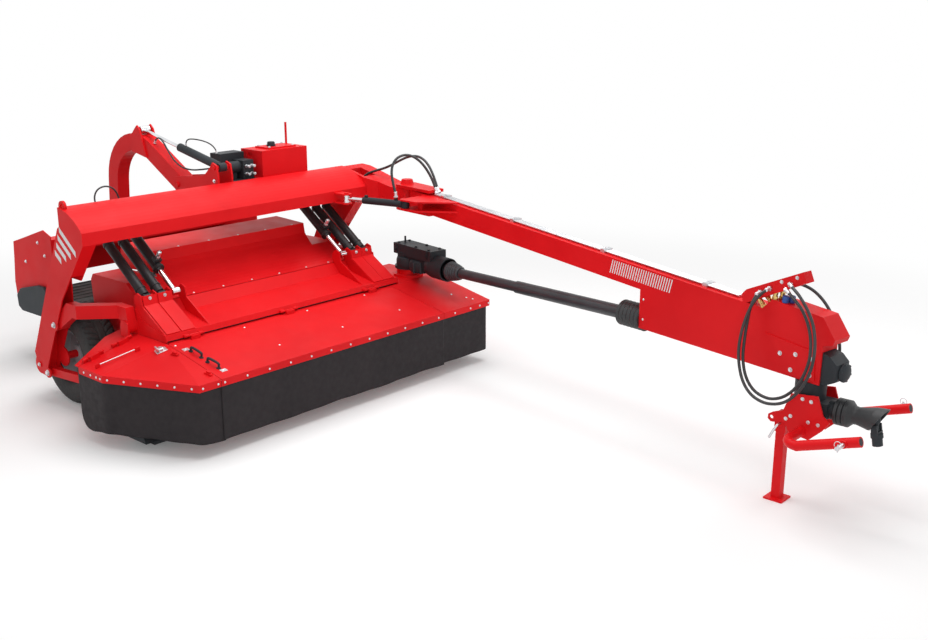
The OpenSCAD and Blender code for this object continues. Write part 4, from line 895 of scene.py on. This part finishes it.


# Headstock: sleeves of the link pins with their ring pins, dark discs of painted shade in the mouths of the arms,
# and the stand's pin

ARM_X, ARM_FOOT_Y, ARM_FOOT_Z = 0.375, -0.110, 0.520
ARM_RUN, ARM_RISE, PIN_RUN = 0.390, 0.130, 0.300
ARM_DIR = unit([0, -ARM_RUN, ARM_RISE])
PIN_X = ARM_X + 0.032 + 0.0085
PIN_Y, PIN_Z = ARM_FOOT_Y - PIN_RUN, ARM_FOOT_Z + ARM_RISE * PIN_RUN / ARM_RUN
RING_R = 0.021
SLEEVE = turned([(0.0138, 0.0), (0.0146, 0.0), (0.0146, 0.083), (0.0138, 0.0845), (0.0, 0.0862)], 24)
LINCH = turned([(0.0, 0.0), (0.0052, 0.0), (0.0052, 0.046), (0.0, 0.048)], 10)
# A flat dark disc over an arm's open end: painted shade standing for the inside of the tube
MOUTH_SHADE = turned([(0.0, 0.0), (0.0235, 0.0), (0.0235, 0.0012), (0.0, 0.0012)], 28)


def headstock_trim():
    """Zinc sleeves on the link pins with a ring pin across each tip, and a flat dark disc of painted shade over
    each arm's open mouth.
    """
    zinc, mouth_shades = [], []
    w = np.linspace(0.15 * tau, 0.85 * tau, 22)
    for s in (-1, 1):
        start = HEAD + np.array([s * PIN_X, PIN_Y, PIN_Z])
        tip = start + np.array([s * 0.070, 0, 0])
        ring = np.column_stack([np.full(len(w), tip[0] + s * 0.004), tip[1] + RING_R * np.sin(w),
                                tip[2] + 0.022 + RING_R * (1 - np.cos(w)) - RING_R])
        zinc += [set_at(SLEEVE, start, (s, 0, 0)), set_at(LINCH, tip + np.array([0, 0, -0.024]), UP),
                 tube(ring, 0.0022, 8, LEFTWARD)]
        end = HEAD + np.array([s * ARM_X, ARM_FOOT_Y - ARM_RUN, ARM_FOOT_Z + ARM_RISE])
        mouth_shades.append(set_at(MOUTH_SHADE, end - 0.0006 * ARM_DIR, ARM_DIR))
    return joined(*zinc), joined(*mouth_shades)


ZINC_TRIM, MOUTH_SHADES = headstock_trim()
add("link_pin_sleeves", ZINC_TRIM, ZINC, "headstock")
# The dark discs in the arms' mouths are painted shade
add("arm_mouth_shade", MOUTH_SHADES, DARK, "headstock")
STAND_AT = HEAD + np.array([-0.078, 0.130, 0.0])
LEVER = STAND_AT + np.array([(0.045, 0.0, 0.530), (-0.060, 0.0, 0.530), (-0.078, 0.006, 0.520),
                             (-0.084, 0.018, 0.496), (-0.086, 0.034, 0.462), (-0.086, 0.046, 0.436)])
add("stand_pin", tube(smooth_line(LEVER), 0.0078, 12, (0.2, 1, 0.3)), ZINC, "headstock")


# Lift cylinders: port blocks with collars, fittings, and rings on the spring tubes

SPRING_FOOT, SPRING_HEAD = np.array([1.000, 0.960]), np.array([1.751, 1.508])
SPRING_DIR = unit(SPRING_HEAD - SPRING_FOOT)
SPRING_OUT = np.array([0, -SPRING_DIR[1], SPRING_DIR[0]])
ALONG_SPRING = np.array([0, *SPRING_DIR])
LOWER_PORT, UPPER_PORT = 0.300, 0.640
COLLAR = turned([(0.0, 0.0), (0.0465, 0.0), (0.0465, 0.022), (0.0, 0.022)], 28)
SPRING_RING = turned([(0.0392, 0.0), (0.0425, 0.002), (0.0425, 0.014), (0.0392, 0.016)], 28)


def on_spring(x, d, out=0.0):
    """A point d up from a spring's foot along its line, out from the line towards the front and up."""
    return at(x, *(SPRING_FOOT + d * SPRING_DIR)) + out * SPRING_OUT


for side, x in (("right", -0.845), ("left", 0.880)):
    lower_foot, upper_foot = on_spring(x, LOWER_PORT, 0.036), on_spring(x, UPPER_PORT, 0.026)
    ports = joined(set_at(brick((0.052, 0.062, 0.030)), lower_foot, SPRING_OUT, LEFTWARD),
                   set_at(brick((0.052, 0.050, 0.026)), upper_foot, SPRING_OUT, LEFTWARD),
                   set_at(COLLAR, on_spring(x, 0.236), ALONG_SPRING))
    soften(add(f"lift_ports_{side}", ports, TUBE, "lift_barrels"), 0.003)
    inward = np.array([-np.sign(x), 0, 0])
    fittings = joined(set_at(COUPLER, on_spring(x, LOWER_PORT, 0.065), SPRING_OUT),
                      set_at(COUPLER, on_spring(x, UPPER_PORT, 0.039) + 0.0255 * inward, inward))
    add(f"lift_fittings_{side}", fittings, ZINC, "lift_barrels")
    rings = [set_at(SPRING_RING, on_spring(t, d), ALONG_SPRING)
             for t in SPRING_X[side] for d in (0.075, 0.560)]
    add(f"spring_rings_{side}", joined(*rings), TUBE, "spring_tubes")


# Swath belt: cleats round the loop, caps on the rollers' ends, cover and bolts of the right end

BELT_FRONT, BELT_REAR, BELT_Z, BELT_R = 2.622, 3.098, 0.532, 0.062
RIB = slab([(-0.010, -1.03), (0.010, -1.03), (0.010, 1.03), (-0.010, 1.03)], -0.0005, 0.007)


def belt_cleats(count):
    """Low ribs across the belt at even steps round its loop of two straights and two half rounds."""
    y0, y1, z, r = BELT_FRONT, BELT_REAR, BELT_Z, BELT_R
    straight, bend = y1 - y0, pi * r
    shapes = []
    for d in np.linspace(0, 2 * (straight + bend), count, endpoint=False):
        if d < straight:
            p, n = (y0 + d, z - r), (0, -1)
        elif d < straight + bend:
            a = (d - straight) / r - pi / 2
            p, n = (y1 + r * cos(a), z + r * sin(a)), (cos(a), sin(a))
        elif d < 2 * straight + bend:
            p, n = (y1 - (d - straight - bend), z + r), (0, 1)
        else:
            a = (d - 2 * straight - bend) / r + pi / 2
            p, n = (y0 + r * cos(a), z + r * sin(a)), (cos(a), sin(a))
        shapes.append(set_at(RIB, at(0.06, *p), (0, *n), LEFTWARD))
    return joined(*shapes)


soften(add("belt_cleats", belt_cleats(14), BELT, "belt_arch"), 0.002)
ROLLER_CAP = turned([(0.0, 0.0), (0.034, 0.0), (0.034, 0.007), (0.028, 0.012), (0.016, 0.014),
                     (0.0, 0.014)], 24)
ROLLER_CAPS = [set_at(ROLLER_CAP, at(x, y, BELT_Z), way)
               for x, way in ((-1.0199, RIGHTWARD), (1.1399, LEFTWARD)) for y in (BELT_FRONT, BELT_REAR)]
add("roller_caps", joined(*ROLLER_CAPS), ZINC, "belt_arch")
DRIVE = [(2.610, 0.700), (2.640, 0.500), (2.700, 0.470), (3.060, 0.466), (3.120, 0.500), (3.130, 0.600),
         (3.060, 0.668), (2.760, 0.742), (2.650, 0.745)]
soften(add("belt_drive_cover", crosswise(DRIVE, -1.0195, 0.0, 0.032), DARK, "belt_arch"), 0.006)
END_PLATE = [(2.58, 0.80), (2.72, 1.12), (2.62, 1.02), (2.96, 0.92)]
bolted("bolts_belt", "belt_arch", [(big_bolt(1.4), "belt_frame", beside(-1.4, END_PLATE), LEFTWARD)])


# Gearboxes, valve block and tank: nose cover, case, fittings, bolts and filler

COVER = [(0.0, 0.0), (0.056, 0.0), (0.060, 0.003), (0.060, 0.012), (0.050, 0.020), (0.030, 0.026),
         (0.0, 0.027)]
COVER_RIM = [(0.053 * cos(a), 0.053 * sin(a), 0.0125) for a in angles(6)]
COVER_BOLTS = repeated(scaled(BOLT, 0.9), COVER_RIM, np.repeat(np.eye(3)[None], len(COVER_RIM), 0))
NOSE_SPOT, NOSE_OUT = seat("upper_gearbox", on_bar([0, -4.9, 0.925])[0], BAR_BACK)
NOSE_COVER = set_at(joined(turned(COVER, 32), COVER_BOLTS), NOSE_SPOT - 0.004 * NOSE_OUT, NOSE_OUT)
soften(add("gearbox_cover", NOSE_COVER, DARK, "drawbar"), 0.0015)

CASE = [(0.0, 0.0), (0.104, 0.0), (0.114, 0.010), (0.119, 0.040), (0.119, 0.072), (0.112, 0.098),
        (0.100, 0.106), (0.0, 0.106)]
CASE_LUG = [(0.0, 0.0), (0.012, 0.0), (0.012, 0.085), (0.007, 0.092), (0.0, 0.092)]
CASE_Y, LUG_RING = -0.215, 0.121
LUG_ANGLES = np.linspace(-2.9, -0.25, 6)
DRUM_PLACES = on_bar([(0, y, 0.7675) for y in (-0.02, CASE_Y)])
LUG_PLACES = on_bar([(LUG_RING * cos(a), CASE_Y + LUG_RING * sin(a), 0.770) for a in LUG_ANGLES])
add("gear_case", joined(*(set_at(turned(CASE, 36), place, UP) for place in DRUM_PLACES),
                        *(set_at(turned(CASE_LUG, 10), place, UP) for place in LUG_PLACES)),
    DARK, "swivel_gearbox")
VALVE_PORTS = moved([(x, 1.50, z) for x in (0.318, 0.372) for z in (1.672, 1.738)])
VALVE_FACE, VALVE_OUT = seats("valve_block", VALVE_PORTS, BACKWARD)
VALVE_FITTINGS = repeated(scaled(COUPLER, 0.8), VALVE_FACE, facing(VALVE_OUT))
add("valve_fittings", VALVE_FITTINGS, ZINC, "frame")
LID = [(x, y, 1.2) for x in (-0.060, 0.060) for y in (-0.385, -0.20, 0.055)]
bolted("bolts_swivel", "swivel_gearbox", [
    (big_bolt(1.5), "swivel_gearbox", on_bar(LID), DOWN),
    (big_bolt(1.4), "swivel_gearbox", on_bar([(-NEAR_BAR, y, 0.945) for y in (-0.385, 0.055)]), BAR_SIDE),
    (big_bolt(1.4), "swivel_gearbox", on_bar([(NEAR_BAR, y, 0.945) for y in (-0.385, 0.055)]), -BAR_SIDE)],
    DARK)
FILLER = [(0.0, 0.0), (0.040, 0.0), (0.040, 0.012), (0.034, 0.014), (0.034, 0.030), (0.028, 0.038),
          (0.0, 0.041)]
add("tank_filler", set_at(turned(FILLER, 26), at(0.66, 1.635, 1.869), UP), DARK, "frame")


# Studio

FLOOR_HALF = 60.0
LIGHTS = (("top_light", (0.5, 0.5, 7.5), (0, 0, 0), 400, 6.0),
          ("front_light", (-6.5, -7.5, 5.0), (0, 0, 0.8), 110, 4.0),
          ("side_light", (6.0, -4.0, 4.5), (0, -1, 0.8), 60, 4.0))


def seen_rays(nodes, links):
    """1 for rays of the camera, of mirrors and through glass, 0 for all others."""
    rays = nodes.new("ShaderNodeLightPath").outputs
    mirrored = combined(nodes, links, "MAXIMUM", rays["Is Glossy Ray"], rays["Is Transmission Ray"])
    return combined(nodes, links, "MAXIMUM", rays["Is Camera Ray"], mirrored)


def mixed(nodes, links, amount, first, second):
    """A shader that goes from first to second with amount."""
    mix = nodes.new("ShaderNodeMixShader")
    for socket, value in zip(mix.inputs, (amount, first, second)):
        links.new(value, socket)
    return mix.outputs["Shader"]


def floor_finish():
    """Pale floor that keeps the shadow, a little lifted where it is seen, and pure white far off."""
    mat, nodes, links, shader, where = new_finish("floor")
    shader.inputs["Base Color"].default_value = (0.90, 0.90, 0.90, 1)
    shader.inputs["Roughness"].default_value = 0.95
    shader.inputs["Specular IOR Level"].default_value = 0.0
    seen = seen_rays(nodes, links)
    far = nodes.new("ShaderNodeVectorMath")
    far.operation = "LENGTH"
    links.new(where, far.inputs[0])
    spread = nodes.new("ShaderNodeMapRange")
    spread.interpolation_type = "SMOOTHSTEP"
    spread.inputs["From Min"].default_value = 3.6
    spread.inputs["From Max"].default_value = 8.5
    spread.inputs["To Min"].default_value = 0.0
    links.new(far.outputs["Value"], spread.inputs["Value"])
    lift = nodes.new("ShaderNodeEmission")
    links.new(combined(nodes, links, "MULTIPLY", seen, 0.13), lift.inputs["Strength"])
    near = nodes.new("ShaderNodeAddShader")
    links.new(shader.outputs["BSDF"], near.inputs[0])
    links.new(lift.outputs["Emission"], near.inputs[1])
    white = nodes.new("ShaderNodeEmission")
    amount = combined(nodes, links, "MULTIPLY", spread.outputs["Result"], seen)
    both = mixed(nodes, links, amount, near.outputs["Shader"], white.outputs["Emission"])
    links.new(both, nodes["Material Output"].inputs["Surface"])
    return mat


def lay_floor():
    """A wide square in the ground plane."""
    mesh = bpy.data.meshes.new("floor")
    corners = [(x * FLOOR_HALF, y * FLOOR_HALF, 0) for x, y in ((-1, -1), (1, -1), (1, 1), (-1, 1))]
    mesh.from_pydata(corners, [], [(0, 1, 2, 3)])
    floor = bpy.data.objects.new("floor", mesh)
    bpy.context.scene.collection.objects.link(floor)
    mesh.materials.append(floor_finish())


def light_world():
    """Soft light from all sides, and pure white where the world is seen."""
    world = bpy.data.worlds.new("studio")
    bpy.context.scene.world = world
    world.use_nodes = True
    nodes, links = world.node_tree.nodes, world.node_tree.links
    shades = []
    for back, strength in ((nodes["Background"], 0.48), (nodes.new("ShaderNodeBackground"), 1.0)):
        back.inputs["Color"].default_value = (1, 1, 1, 1)
        back.inputs["Strength"].default_value = strength
        shades.append(back.outputs["Background"])
    both = mixed(nodes, links, seen_rays(nodes, links), *shades)
    links.new(both, nodes["World Output"].inputs["Surface"])


def hang_lights():
    """Square soft lights, each from its place towards its aim."""
    for name, place, aim, power, width in LIGHTS:
        data = bpy.data.lights.new(name, "AREA")
        data.energy = power
        data.size = width
        lamp = bpy.data.objects.new(name, data)
        turn = facing([np.array(place, float) - np.array(aim, float)], (0, 1, 0.1))[0]
        lamp.matrix_world = Matrix([[*turn[i], place[i]] for i in range(3)] + [[0, 0, 0, 1]])
        bpy.context.scene.collection.objects.link(lamp)


lay_floor()
light_world()
hang_lights()
bpy.context.scene.view_settings.view_transform = "Standard"
